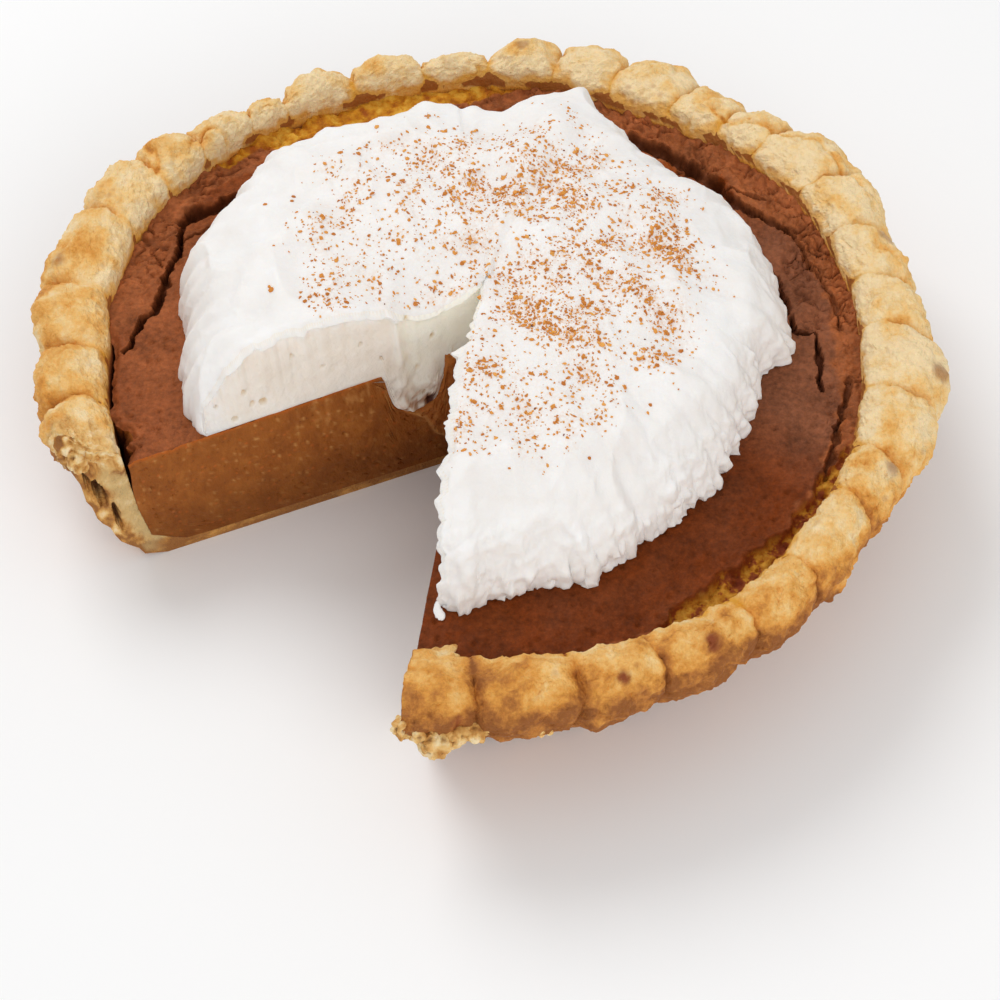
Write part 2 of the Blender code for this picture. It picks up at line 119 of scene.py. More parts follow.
# Folds across the rim: path of (azimuth, radius) pairs, and width.
FOLD_PATHS = ((((135.8, 114.1), (134.1, 115.8), (132.4, 115.9), (131.0, 113.8), (130.4, 110.6), (130.8, 105.6)), 0.9),
              (((129.6, 105.4), (127.7, 104.4), (125.6, 104.6), (123.7, 104.2)), 1.1),
              (((139.8, 123.5), (139.9, 120.3), (141.1, 116.7), (142.3, 114.9)), 0.8),
              (((50.5, 112.4), (48.9, 111.6), (47.2, 111.7), (45.7, 113.3), (45.1, 116.1)), 0.8),
              (((47.2, 110.5), (44.6, 114.9), (42.0, 117.2), (39.5, 117.6), (37.8, 121.6)), 0.8),
              (((36.7, 121.0), (34.9, 124.3), (29.2, 122.7), (26.0, 124.0)), 0.8))
# Hollows between the layers: distance from the tip, height, length, width, depth and tilt.
LAYER_HOLLOWS = ((111.9, 39.4, 6.5, 2.2, 6.0, 110.0), (111.0, 33.6, 3.2, 2.0, 5.0, 80.0),
                 (108.6, 30.6, 8.0, 3.4, 9.0, 76.0), (105.6, 21.0, 11.5, 2.0, 6.0, 85.0))

# Filling.
GAP = 0.08
FILLING_EDGE = 40.9
FILLING_RISE = 4.2
FILLING_SPAN = 104.0
FILLING_LEVEL = 41.0
RING_PATH = ((3, 88.8), (17, 90.0), (28, 95.5), (36, 98.5), (44, 96.5), (54, 93.0), (62, 93.0), (112, 97.0),
             (130, 101.0), (147, 98.5), (158, 94.2), (172, 95.6), (181, 96.5), (200, 96.0), (262, 98.0), (290, 101.0),
             (300, 103.4), (322, 103.2), (333, 100.0), (341, 96.0), (349, 95.0), (357, 94.3))
BITE_RADIUS = 18.5
BITE_LENGTH = 9.0
BITE_WIDTH = 11.0
BITE_DEPTH = 18.0
# Cracks: path of (azimuth, radius) pairs, width and depth.
CRACK_PATHS = ((((176.8, 98.4), (173.8, 96.1), (169.3, 94.4), (167.3, 92.0), (162.5, 91.7), (158.0, 93.6),
                 (153.2, 94.5), (148.2, 98.5), (143.9, 101.3)), 1.0, 5.0),
               (((146.0, 100.5), (142.2, 98.1), (139.9, 95.6), (136.8, 94.3), (133.3, 93.9), (128.0, 90.0)), 2.1, 3.8),
               (((18.0, 86.5), (15.6, 87.7), (10.2, 87.7), (2.6, 87.8), (2.2, 90.9), (1.2, 93.9), (356.0, 94.2),
                 (351.9, 93.8), (349.0, 94.6)), 0.7, 3.6),
               (((60.0, 95.5), (55.0, 96.2), (51.5, 95.6), (47.0, 95.2), (42.5, 95.4)), 2.9, 5.8),
               (((43.0, 95.4), (39.5, 93.8), (34.1, 94.8), (30.2, 97.0), (26.5, 99.6), (24.5, 99.2)), 1.4, 4.2),
               (((24.5, 99.2), (21.5, 99.9), (17.2, 98.3), (13.3, 99.8), (10.7, 100.7), (5.6, 100.9), (2.6, 100.8)),
                0.6, 1.8),
               (((352.1, 101.8), (348.5, 101.3), (343.1, 100.7), (335.9, 102.1), (332.5, 102.8)), 0.8, 2.2),
               (((150.0, 96.0), (147.0, 93.0), (144.0, 91.5)), 0.5, 1.2),
               (((40.0, 95.5), (37.0, 99.0), (33.0, 101.5)), 0.6, 1.6))
EDGE_PATH = ((270, 108.0), (277.3, 107.0), (281.6, 107.0), (287.0, 106.6), (292.8, 105.6), (298.6, 102.0),
             (307.0, 100.4), (314.6, 100.6), (321.3, 103.0), (324.3, 101.7), (331.4, 101.7), (337.5, 103.9),
             (345, 106.0), (200, 112.0), (100, 112.0))
EDGE_DROP = ((284, 0.0), (294, 2.6), (330, 2.4), (342, 0.4), (352, 0.0), (200, 0.0), (100, 0.0))
RING_ROUGH = ((3, 1.1), (15, 1.4), (30, 2.0), (58, 2.1), (72, 1.5), (100, 0.9), (125, 1.5), (150, 1.3), (172, 0.6),
              (186, 0.3), (262, 0.1), (285, 0.2), (300, 0.5), (330, 0.7))
FILLING_OVERLAP = 2.4
# Places of the filling's top that take another colour: painted shade at the front, painted sheen at the right and a
# deeper orange at the back. Name, azimuth, and cosines where it starts and is full.
CUSTARD_SHADE_AND_SHEEN_PLACES = (("front", 297.0, 0.3, 0.85), ("back", 80.0, 0.2, 0.8), ("right", 4.0, 0.78, 0.96))
BAND_WIDTH = ((3, 7.0), (20, 8.0), (35, 13.0), (75, 13.0), (95, 8.0), (130, 9.0), (165, 8.0), (180, 0.0), (262, 0.0),
              (300, 2.0), (345, 6.0))
GLAZE_HEIGHT = ((3, 43.5), (30, 43.6), (60, 43.8), (85, 44.2), (100, 43.4), (120, 42.8), (140, 42.2), (160, 42.2),
                (172, 43.0), (200, 43.2), (262, 42.4), (285, 43.6), (300, 44.8), (325, 44.6), (345, 43.6))
GLAZE_AMOUNT = ((0, 0.9), (100, 1.0), (200, 0.9), (290, 1.0))
EDGE_STAIN = ((80, 0.0), (90, 6.0), (102, 10.0), (120, 9.0), (128, 4.0), (136, 0.0), (200, 0.0), (262, 0.0), (359, 0.0))
GAP_WIDTH = ((100, 0.0), (168, 0.0), (178, 0.8), (186, 1.1), (190, 0.3), (193.5, 3.4), (197, 4.0), (199.2, 1.8),
             (200.4, 0.9), (262, 0.0))
STAIN_REACH = ((3, 1.4), (40, 2.4), (60, 3.0), (75, 3.0), (95, 2.0), (125, 2.0), (142, 1.6), (160, 1.6), (190, 1.8),
               (262, 0.8), (288, 1.6), (300, 2.4), (330, 2.2), (345, 1.4))
STAIN_AMOUNT = ((3, 0.8), (40, 0.9), (70, 1.0), (90, 1.15), (135, 1.1), (155, 0.8), (190, 0.8), (262, 0.7),
                (288, 1.0), (300, 1.1), (330, 1.1), (345, 0.9))
CRUST_TONE = ((3, -0.24), (30, -0.21), (80, -0.2), (115, -0.2), (140, -0.11), (160, 0.02), (185, 0.07), (200, 0.06),
              (262, 0.12), (290, 0.1), (320, -0.04), (350, -0.2))
FILLING_COLUMNS = 1100
FILLING_ROWS = ((0.0, 0.68, 14), (0.68, 0.82, 18), (0.82, 1.0, 52))
FILLING_CUT_COLUMNS = ((0.0, 0.82, 118), (0.82, 1.0, 40))
FILLING_CUT_ROWS = 58
# Lower edge of the broken lump: (distance from the tip, height) pairs.
LUMP_EDGE = ((0.0, 4.0), (4.6, 6.5), (7.6, 8.7), (10.5, 11.4), (13.7, 15.0), (16.1, 21.6), (20.4, 25.7),
             (24.3, 28.7), (27.0, 31.0))
FAR_RELIEF = 0.4

# Whipped cream.
CREAM_REACH = ((10, 85.0), (22, 86.6), (32, 86.4), (39, 82.0), (50, 82.0), (56, 84.0), (62, 88.0), (69.5, 95.0),
               (75, 91.0), (84.7, 80.5), (91, 82.0), (99.4, 88.0), (108, 84.8), (117, 88.0), (130, 90.0),
               (143, 85.5), (157, 86.0), (166, 83.4), (175, 79.8), (192, 80.5), (200, 79.5), (262, 87.4),
               (267, 87.6), (274, 84.4), (294, 83.0), (303, 79.2), (320, 79.2), (337, 77.5), (350, 78.0),
               (356, 84.5))
CREAM_SHOULDER = ((30, 4.6), (42, 5.4), (58, 6.4), (70, 9.0), (100, 8.0), (130, 8.0), (160, 7.0), (200, 7.5),
                  (262, 4.0), (300, 3.6))
CREAM_THICKNESS = ((60, 27.5), (70, 29.0), (80, 27.5), (150, 28.0), (200, 29.5), (262, 26.5), (300, 25.5))
# Rough form of the cream, for spacing its rows and placing its noise.
CREAM_RADIUS = 82.0
CREAM_HEIGHT = 27.0
CREAM_POWER = 4.6
FINE_ANGLES = 6001
CREAM_ROUGH = ((0, 0.45), (30, 0.3), (57, 0.7), (75, 0.8), (90, 0.3), (140, 0.1), (200, 0.1), (262, 1.25),
               (300, 1.2), (335, 1.0))
CREAM_TIP_SHIFT = (3.0, 1.1, 0.0)
CREAM_TIP_SPAN = 12.0
CREAM_UNDERCUT = 1.4
CREAM_SAG = 8.0
CREAM_SAG_RADIUS = 14.0
CREAM_SAG_SPAN = 13.0
CENTRE_DIP = 3.0
CENTRE_DIP_SPAN = 26.0
# Swirls: depth, heading, length and phase.
SWIRLS = ((0.9, 118.0, 31.0, 0.4), (0.7, 62.0, 23.0, 2.1), (0.4, 15.0, 15.0, 4.0))
SWIRL_CALM = 48.0
# Smears on the filling: azimuth, radius, length, width, thickness and turn.
CREAM_DABS = ((262.7, 89.6, 6.8, 3.0, 0.8, 8.0), (264.0, 86.4, 4.0, 3.6, 1.3, -20.0))
CREAM_COLUMNS = 640
CREAM_ROWS = 124
CREAM_CUT_ROWS = 40
# Strokes of the spatula: path of (azimuth, radius) pairs, width and lift.
STROKES = ((((146.5, 66.0), (159.7, 60.6), (174.2, 58.5), (184.9, 59.4)), 3.0, 0.9),
           (((143.9, 61.3), (161.5, 53.2), (182.0, 51.4), (197.4, 54.2)), 4.0, 0.8),
           (((120.9, 40.4), (124.7, 35.0), (129.6, 28.7), (136.9, 22.1)), 2.4, 0.9),
           (((100.4, 31.4), (98.1, 25.2), (95.3, 19.2)), 2.2, 0.6),
           (((263.5, 64.0), (275.4, 58.5), (287.2, 57.4), (300.8, 60.7), (313.8, 64.9), (333.6, 69.5),
             (353.2, 73.0), (10.0, 74.0)), 3.6, 1.3),
           (((330.0, 60.0), (343.7, 65.0), (353.2, 66.0)), 3.0, 0.7),
           (((40.0, 66.0), (58.0, 58.0), (76.0, 56.0)), 3.4, 0.8),
           (((20.0, 46.0), (45.0, 38.0), (70.0, 38.0)), 3.4, -0.7),
           (((300.0, 34.0), (330.0, 30.0), (0.0, 36.0)), 4.0, -0.6),
           (((100.0, 66.0), (118.0, 61.0), (136.0, 62.0)), 3.4, 0.8))
# Spikes of the foot: azimuth, width and length.
SPIKES = ((357.4, 1.0, 3.0), (354.6, 0.8, 2.2), (0.4, 1.0, 1.6), (72.0, 2.6, 1.5), (65.0, 1.2, 1.4),
          (57.5, 1.6, 1.6), (262.5, 1.2, 1.2), (265.8, 1.0, 1.4), (340.0, 0.8, 1.2), (331.0, 0.9, 1.2))
# Pores of the near cut: distance from the tip, height, size and darkness.
CREAM_PORES = ((61.3, 49.4, 1.5, 0.7), (69.5, 46.0, 1.2, 0.5), (66.1, 55.2, 1.0, 0.5), (64.3, 49.7, 1.0, 0.4),
               (19.6, 64.1, 0.9, 0.8), (12.6, 54.0, 0.9, 0.8), (17.3, 43.4, 0.8, 0.7), (16.2, 33.9, 0.9, 0.9),
               (14.6, 30.0, 1.3, 1.0), (44.0, 56.0, 0.8, 0.3), (33.0, 60.0, 0.7, 0.3), (52.0, 63.0, 0.8, 0.3),
               (27.5, 52.0, 0.7, 0.3), (74.0, 52.0, 0.8, 0.3))
# Pocket at the tip, painted dark as shade in it: distance from the tip, height, length and width.
POCKET = (14.6, 30.0, 1.7, 2.8)

# Cinnamon.
SPECKS = 60
# Smallest and largest length of the large flakes, and their height.
SPECK_SIZE = (1.1, 2.0)
SPECK_HEIGHT = 0.5
SPECK_SPREAD = 0.78
SPECK_SEED = 41
SPECK_FIELD = 86.0
CLUSTERS = 420
CLUSTER_SPREAD = 2.6
# Kinds of grain: name, count, and smallest and largest size.
GRAINS = (("medium", 2300, (0.7, 1.6)), ("small", 3400, (0.36, 0.82)), ("dark", 40, (0.5, 1.0)))
GRAIN_CORNERS = 12
# How far the dusting reaches, as a share of the cream's reach, and how thick it is.
DUST_REACH = ((0, 0.86), (60, 0.84), (120, 0.80), (160, 0.70), (200, 0.66), (262, 0.76), (300, 0.80))
DUST_AMOUNT = ((0, 1.0), (60, 1.0), (110, 0.9), (150, 0.6), (180, 0.5), (200, 0.6), (262, 0.8), (320, 0.9))

# Colours, as linear red, green and blue.
PASTRY_COLORS = ((0.0, (0.92, 0.71, 0.41)), (0.22, (0.89, 0.61, 0.27)), (0.42, (0.85, 0.48, 0.14)),
                 (0.62, (0.74, 0.33, 0.06)), (0.82, (0.50, 0.19, 0.035)), (1.0, (0.30, 0.10, 0.02)))
TORN_COLORS = ((0.0, (0.92, 0.72, 0.42)), (0.35, (0.80, 0.50, 0.18)), (0.65, (0.60, 0.29, 0.07)),
               (1.0, (0.33, 0.13, 0.03)))
TORN_CRUMB_COLORS = ((0.3, TORN_COLORS[0][1]), (0.48, TORN_COLORS[1][1]), (0.7, TORN_COLORS[2][1]))
STAIN_COLOR = (0.74, 0.34, 0.022)
GLAZE_COLOR = (0.30, 0.072, 0.01)
FRECKLE_COLOR = (0.40, 0.14, 0.035)
# Burnt spots, and painted shade on the crust's inner wall along the gap.
BURNT_AND_GAP_SHADE_COLOR = (0.26, 0.06, 0.014)
CUSTARD_LEFT_WITH_SHEEN = (0.29, 0.084, 0.027)
CUSTARD_BACK = (0.245, 0.052, 0.008)
CUSTARD_FRONT_SHADED = (0.155, 0.031, 0.005)
CUSTARD_RIGHT_SHEEN = (0.22, 0.075, 0.034)
CUSTARD_BAND = (0.33, 0.100, 0.033)
# Brightness of the custard against the value of its noise.
CUSTARD_MOTTLE = ((0.32, 0.48), (0.5, 1.0), (0.68, 1.55))
CUSTARD_CUT_COLORS = ((0.25, (0.20, 0.055, 0.009)), (0.5, (0.30, 0.09, 0.014)), (0.75, (0.42, 0.145, 0.026)))
GROOVE_COLORS = ((0.34, (0.16, 0.026, 0.008)), (0.47, (0.27, 0.062, 0.014)), (0.53, (0.48, 0.19, 0.018)),
                 (0.66, (0.66, 0.33, 0.045)))
CUSTARD_STAIN_COLORS = ((0.34, (0.36, 0.09, 0.012)), (0.5, (0.62, 0.25, 0.018)), (0.66, (0.80, 0.44, 0.06)))
CUSTARD_EDGE_COLOR = (0.46, 0.11, 0.012)
CUSTARD_LUMP_COLOR = (0.40, 0.13, 0.026)
CUSTARD_FLECK_COLOR = (0.56, 0.13, 0.02)
CUSTARD_PALE = (0.52, 0.24, 0.07)
CUSTARD_LOW_SHADE = (0.72, 0.70, 0.66)
# Near black: painted shade in cracks, splits, the gap and the pocket, and the colour of dark specks.
DARK_SHADE_AND_SPECK_COLOR = (0.07, 0.016, 0.006)
CREAM_LIP_COLOR = (0.88, 0.85, 0.81)
LAYER_COLOR = (0.60, 0.42, 0.185)
# Painted shade in the hollows and pits of the torn pastry, and in the gap beside the filling.
RECESS_SHADE_COLOR = (0.2, 0.08, 0.025)
CREAM_COLORS = ((0.3, (0.86, 0.83, 0.80)), (0.7, (0.905, 0.89, 0.875)))
CREAM_CUT_COLORS = ((0.3, (0.82, 0.745, 0.65)), (0.7, (0.88, 0.82, 0.745)))
# Lighter colour near the tip: painted light on a cut face that lies in shade.
CREAM_TIP_PAINTED_LIGHT = (0.98, 0.93, 0.82)
CREAM_PORE_COLOR = (0.62, 0.42, 0.16)
CREAM_SMEAR_COLOR = (0.50, 0.27, 0.15)
DUST_COLOR = (0.72, 0.36, 0.13)
CINNAMON_COLORS = ((0.0, (0.50, 0.155, 0.02)), (0.5, (0.68, 0.26, 0.038)), (1.0, (0.80, 0.37, 0.08)))
DARK_GRAIN_COLORS = ((0.0, (0.10, 0.03, 0.012)), (1.0, (0.22, 0.06, 0.02)))
FLOOR_COLOR = (0.93, 0.93, 0.93)

# Studio: lights as name, place and diameter in metres, and power in watts.
LIGHTS = (("key", (-0.55, 0.75, 1.15), 0.9, 8.4), ("fill", (0.5, -1.0, 0.7), 1.0, 4.0),
          ("low_fill", (0.25, -1.2, 0.45), 0.9, 1.8))
LIGHT_AIM = (0.0, 0.0, 0.03)
WORLD_LIGHT = 0.62
FLOOR_SIDE = 8.0

# Camera, fitted to the photo.
CAMERA_DISTANCE = 727.3
CAMERA_ELEVATION = 50.823
CAMERA_ROLL = -2.037
CAMERA_AIM = (3.5, -15.26)
CAMERA_LENS = 92.61
SENSOR_WIDTH = 36.0


def smooth(value, low, high):
    """0 below low, 1 above high and an S-curve between them."""
    share = np.clip((value - low) / (high - low), 0, 1)
    return share * share * (3 - 2 * share)


def fall(value, low, high):
    return 1 - smooth(value, low, high)


def between(value, start, full, fading, end):
    """1 from full to fading, and 0 up to start and from end on."""
    return smooth(value, start, full) * fall(value, fading, end)


def spread(*spans):
    """Places spaced evenly over each of the touching spans, which are (start, end, count)."""
    return np.concatenate([np.linspace(*span)[:-1] for span in spans[:-1]] + [np.linspace(*spans[-1])])


def around(keys, az):
    """The value at each azimuth of a smooth closed curve through (azimuth, value) pairs."""
    angles, values = np.array(sorted(keys), float).T
    angles = np.concatenate([angles[-1:] - TURN, angles, angles[:1] + TURN])
    values = np.concatenate([values[-1:], values, values[:1]])
    az = np.mod(az, TURN)
    at = np.clip(np.searchsorted(angles, az, side="right") - 1, 0, len(angles) - 2)
    return values[at] + smooth(az, angles[at], angles[at + 1]) * (values[at + 1] - values[at])


def pie_angle(az):
    return az if az >= FAR_CUT else az + TURN


def facing(az, heading, low, high):
    """1 where the azimuth is near a heading and 0 far from it, by the cosine of the angle between them."""
    return smooth(np.cos(np.radians(az - heading)), low, high)


def stack(*parts):
    return np.stack(np.broadcast_arrays(*parts), axis=-1)


def placed(az, radius, height):
    """Points in millimetres from an azimuth, a radius and a height."""
    turn = np.radians(az)
    return stack(TIP_X + radius * np.cos(turn), TIP_Y + radius * np.sin(turn), height)


def noise(points, size, seed):
    """Smooth noise from about -1 to 1, with bumps of the given size."""
    draw = np.random.default_rng(seed)
    table = np.tile(draw.permutation(256), 3)
    slopes = draw.normal(size=(256, 3))
    slopes /= np.linalg.norm(slopes, axis=1, keepdims=True)
    cell, inside = cells_of(points, size)
    fade = inside ** 3 * (inside * (inside * 6 - 15) + 10)
    total = 0
    for corner in np.ndindex(2, 2, 2):
        weight = np.prod(np.where(corner, fade, 1 - fade), axis=-1)
        total = total + weight * np.sum(slopes[hashed(table, cell + corner)] * (inside - corner), axis=-1)
    return total * 1.7


def cells_of(points, size):
    """The cell of a cubic lattice that each point is in, and its place inside."""
    scaled = points / size
    cell = np.floor(scaled).astype(int)
    return cell & 255, scaled - cell


def hashed(table, cell):
    return table[table[table[cell[..., 0]] + cell[..., 1]] + cell[..., 2]]


def ridge(points, size, seed):
    return np.abs(noise(points, size, seed))


def layers(points, size, seed, octaves=3):
    """Several sizes of noise, each half as large as the last."""
    return sum(0.5 ** k * noise(points, size / 2 ** k, seed + k) for k in range(octaves))


def cell_distance(points, size, seed):
    """Distance to the nearest of many scattered points, where 1 is the size of a cell."""
    draw = np.random.default_rng(seed)
    table = np.tile(draw.permutation(256), 3)
    offsets = draw.uniform(0.1, 0.9, size=(256, 3))
    cell, inside = cells_of(points, size)
    nearest = 9.0
    for step in np.ndindex(3, 3, 3):
        shift = np.array(step) - 1
        offset = offsets[hashed(table, (cell + shift) & 255)]
        nearest = np.minimum(nearest, np.sum((shift + offset - inside) ** 2, axis=-1))
    return np.sqrt(nearest)


def path_distance(points, path):
    """Distance across the floor plan from each point to a path of (azimuth, radius) pairs."""
    corners = placed(*np.array(path).T, 0.0)[:, :2]
    nearest = 1e9
    for start, end in zip(corners, corners[1:]):
        along = end - start
        share = np.clip((points[..., :2] - start) @ along / (along @ along), 0, 1)
        nearest = np.minimum(nearest, np.linalg.norm(points[..., :2] - start - share[..., None] * along, axis=-1))
    return nearest


def plan_radius(points):
    return np.hypot(points[..., 0] - TIP_X, points[..., 1] - TIP_Y)


def grid_normals(grid, row):
    """Unit normals of a grid of points, turned so that those of one row look up."""
    normals = np.cross(np.gradient(grid, axis=1), np.gradient(grid, axis=0))
    normals = normals / np.maximum(np.linalg.norm(normals, axis=-1, keepdims=True), 1e-9)
    return -normals if np.mean(normals[:, row, 2]) < 0 else normals


def along_polyline(points):
    return np.concatenate([[0], np.cumsum(np.linalg.norm(np.diff(points, axis=0), axis=1))])


def rows_evenly(points, count):
    """Evenly spaced places along a polyline of (distance, height) pairs."""
    along = along_polyline(points)
    at = np.linspace(0, along[-1], count)
    return np.stack([np.interp(at, along, line) for line in np.array(points).T], axis=1)


def refined(points, times):
    """A polyline with every segment split into equal parts."""
    at = np.linspace(0, len(points) - 1, (len(points) - 1) * times + 1)
    return np.stack([np.interp(at, np.arange(len(points)), line) for line in points.T], axis=1)


class Shape:
    """Collects grids of points with a material number and named values, and makes one mesh of them."""

    def __init__(self):
        self.points = []
        self.triangles = []
        self.slots = []
        self.values = []

    def add_grid(self, grid, slot, **values):
        columns, rows = grid.shape[:2]
        index = np.arange(columns * rows).reshape(columns, rows)
        a, b, c, d = index[:-1, :-1], index[1:, :-1], index[1:, 1:], index[:-1, 1:]
        triangles = np.concatenate([np.stack(corners, -1).reshape(-1, 3) for corners in ((a, b, c), (a, c, d))])
        self.add(grid.reshape(-1, 3), triangles, slot, **{key: np.broadcast_to(value, (columns, rows)).ravel()
                                                          for key, value in values.items()})

    def add(self, points, triangles, slot, **values):
        self.triangles.append(triangles + sum(map(len, self.points)))
        self.points.append(points)
        self.slots.append(np.full(len(triangles), slot))
        self.values.append(values)

    def make(self, name, materials, crease_angle):
        points = np.concatenate(self.points) * MM
        triangles = np.concatenate(self.triangles)
        slots = np.concatenate(self.slots)
        _, first, index = np.unique(np.round(points, 7), axis=0, return_index=True, return_inverse=True)
        triangles = index.reshape(-1)[triangles]
        whole = np.all(triangles != np.roll(triangles, 1, axis=1), axis=1)
        mesh = mesh_from(name, points[first], triangles[whole], slots[whole])
        for key in sorted({key for values in self.values for key in values}):
            data = np.concatenate([values.get(key, np.zeros(len(part)))
                                   for part, values in zip(self.points, self.values)])[first]
            mesh.attributes.new(key, "FLOAT", "POINT").data.foreach_set("value", data.astype(np.float32))
        for material in materials:
            mesh.materials.append(material)
        mesh.shade_smooth()
        mesh.set_sharp_from_angle(angle=math.radians(crease_angle))
        return linked(bpy.data.objects.new(name, mesh))


def linked(obj):
    bpy.context.scene.collection.objects.link(obj)
    return obj


def mesh_from(name, points, triangles, slots):
    mesh = bpy.data.meshes.new(name)
    mesh.vertices.add(len(points))
    mesh.loops.add(3 * len(triangles))
    mesh.polygons.add(len(triangles))
    mesh.vertices.foreach_set("co", points.astype(np.float32).ravel())
    mesh.loops.foreach_set("vertex_index", triangles.astype(np.int32).ravel())
    mesh.polygons.foreach_set("loop_start", np.arange(0, 3 * len(triangles), 3, dtype=np.int32))
    mesh.polygons.foreach_set("material_index", slots.astype(np.int32))
    mesh.update(calc_edges=True)
    mesh.validate()
    outward = bmesh.new()
    outward.from_mesh(mesh)
    bmesh.ops.recalc_face_normals(outward, faces=outward.faces[:])
    outward.to_mesh(mesh)
    outward.free()
    return mesh


def ball_of(subdivisions):
    """Points and triangles of a ball one unit across."""
    ball = bmesh.new()
    bmesh.ops.create_icosphere(ball, subdivisions=subdivisions, radius=0.5)
    ball.verts.index_update()
    points = np.array([v.co for v in ball.verts])
    triangles = np.array([[v.index for v in f.verts] for f in ball.faces])
    ball.free()
    return points, triangles


def cut_face(outer, inner, steps, soft):
    """A flat grid across a cut between matching points of two sheets, how far it is from both, and a fade to them."""
    share = np.linspace(0, 1, steps)[None, :, None]
    face = outer[:, None, :] * (1 - share) + inner[:, None, :] * share
    span = np.linalg.norm(outer - inner, axis=1)[:, None]
    from_outer = share[..., 0] * span
    from_inner = span - from_outer
    return face, from_outer, from_inner, smooth(from_outer, 0, soft) * smooth(from_inner, 0, soft)


def cut_outward(az, side):
    turn = math.radians(az)
    return side * np.array([-math.sin(turn), math.cos(turn), 0.0])


def pushed(points, relief, az, side):
    """The points moved out of the plane of a cut to one side of it."""
    return points + relief[..., None] * cut_outward(az, side)


def flat_place(points, az):
    """Distance from the tip along a cut, and height, of points near it."""
    turn = math.radians(az)
    along = (points[..., 0] - TIP_X) * math.cos(turn) + (points[..., 1] - TIP_Y) * math.sin(turn)
    return along, points[..., 2]


def lobe_columns():
    """Azimuth, fullness and number of the lobe of every column of the crust."""
    creases = [FAR_CUT - 4.0] + [pie_angle(a) for a in CREASES] + [PIE_END + 3.0]
    share = np.arange(LOBE_STEPS) / LOBE_STEPS
    az = np.concatenate([start + share * (end - start) for start, end in zip(creases, creases[1:])])
    fullness = np.tile((1 - np.abs(2 * share - 1) ** 2.2) ** 0.7, len(creases) - 1)
    lobe = np.repeat(np.arange(len(creases) - 1), LOBE_STEPS)
    inside = (az > FAR_CUT + 0.1) & (az < PIE_END - 0.1)
    kept = np.concatenate([[FAR_CUT], az[inside], [PIE_END]])
    lobe = np.concatenate([lobe[:1], lobe[inside], lobe[-1:]])
    return kept[:, None], np.interp(kept, az, fullness)[:, None], lobe[:, None]


def wall_radius(az, heights, gap=0.0):
    """Radius of the crust's inside wall, less a gap, at each azimuth and height."""
    reach = around(FILLING_REACH, az)
    (top, high), (middle, low), (bottom, lowest) = WALL_INSIDE
    lean = WALL_LEAN * (reach - FILLING_REACH[-1][1])
    knots = np.array([lowest + gap, low + gap, high, FILLING_EDGE - 1.4, FILLING_EDGE + 2.0])
    radii = np.concatenate([bottom + 0 * reach, middle + 0 * reach, top + lean, reach, reach], axis=1) - gap
    at = np.clip(np.searchsorted(knots, heights, side="right") - 1, 0, len(knots) - 2)
    share = (heights - knots[at]) / (knots[at + 1] - knots[at])
    at = np.broadcast_to(at, (len(az), at.shape[-1]))
    return np.take_along_axis(radii, at, 1) * (1 - share) + np.take_along_axis(radii, at + 1, 1) * share


def crust_form(az, full, lobe):
    """Radius, height and turned azimuth of the crust's section points, from the base's underside over the rim."""
    lift = np.random.default_rng(LOBE_SEED).uniform(-1, 1, LOBE_DRAWS)[lobe] * full
    reach, inner = around(RIM_REACH, az), around(FILLING_REACH, az)
    middle = inner + RIM_MIDDLE * (reach - inner)
    angles = spread((RIM_START, RIM_TOP, RIM_ROWS), (RIM_TOP, RIM_END, RIM_ROWS))
    cosine, sine = np.cos(np.radians(angles)), np.sin(np.radians(angles))
    half = np.where(cosine > 0, reach - middle, middle - inner)
    rise = np.where(sine > 0, RIM_CREST - RIM_AXIS, RIM_AXIS - RIM_UNDERSIDE) + 0.5 * lift
    place = stack(RIM_RADIUS * np.cos(np.radians(az)), RIM_RADIUS * np.sin(np.radians(az)), 0.25 * angles)
    pinch = (1 - full) * np.interp(angles, *PINCH_WEIGHT)
    pinch = pinch * (1 + CREASE_UNEVEN * (noise(place, 16.0, 11) + noise(place, 7.0, 12)))
    sink = around(CREASE_DEPTH, az)
    radius = middle + (half - pinch * np.minimum(CREASE_SIDEWAYS * sink, half / 2)) * cosine
    height = RIM_AXIS + (rise - pinch * sink) * sine
    taper = np.clip(np.minimum(az - FAR_CUT, PIE_END - az) / 8.0, 0, 1)
    slant = around(CREASE_SLANT, az) * np.interp(angles, (RIM_START, RIM_END), (-1.0, 1.0))
    bow = around(CREASE_BOW, az) * np.cos(np.radians((angles - 58.0) * 0.8))
    turned = az + taper * (slant + bow + 0.5 * noise(place, 9.0, 13))

    outside = np.concatenate([[(r, 0.0) for r in BASE_RADII[:-1]], rows_evenly(WALL_OUTSIDE, OUTER_WALL_ROWS)])
    heights = np.linspace(FILLING_EDGE - 1.4, WALL_INSIDE[-1][1], OUTER_WALL_ROWS)
    base = BASE_RADII[-2::-1]

    def section(*parts):
        return np.concatenate([np.broadcast_to(part, (len(az), np.shape(part)[-1])) for part in parts], axis=1)
    radius = section(outside[:, 0], radius, wall_radius(az, heights), base)
    height = section(outside[:, 1], height, heights, np.full(len(base), BASE_TOP))
    rim = slice(len(outside), len(outside) + len(angles))
    turn = np.repeat(az, radius.shape[1], axis=1)
    turn[:, rim] = turned
    rim_angle = np.full(radius.shape[1], np.nan)
    rim_angle[rim] = angles
    return radius, height, turn, rim_angle


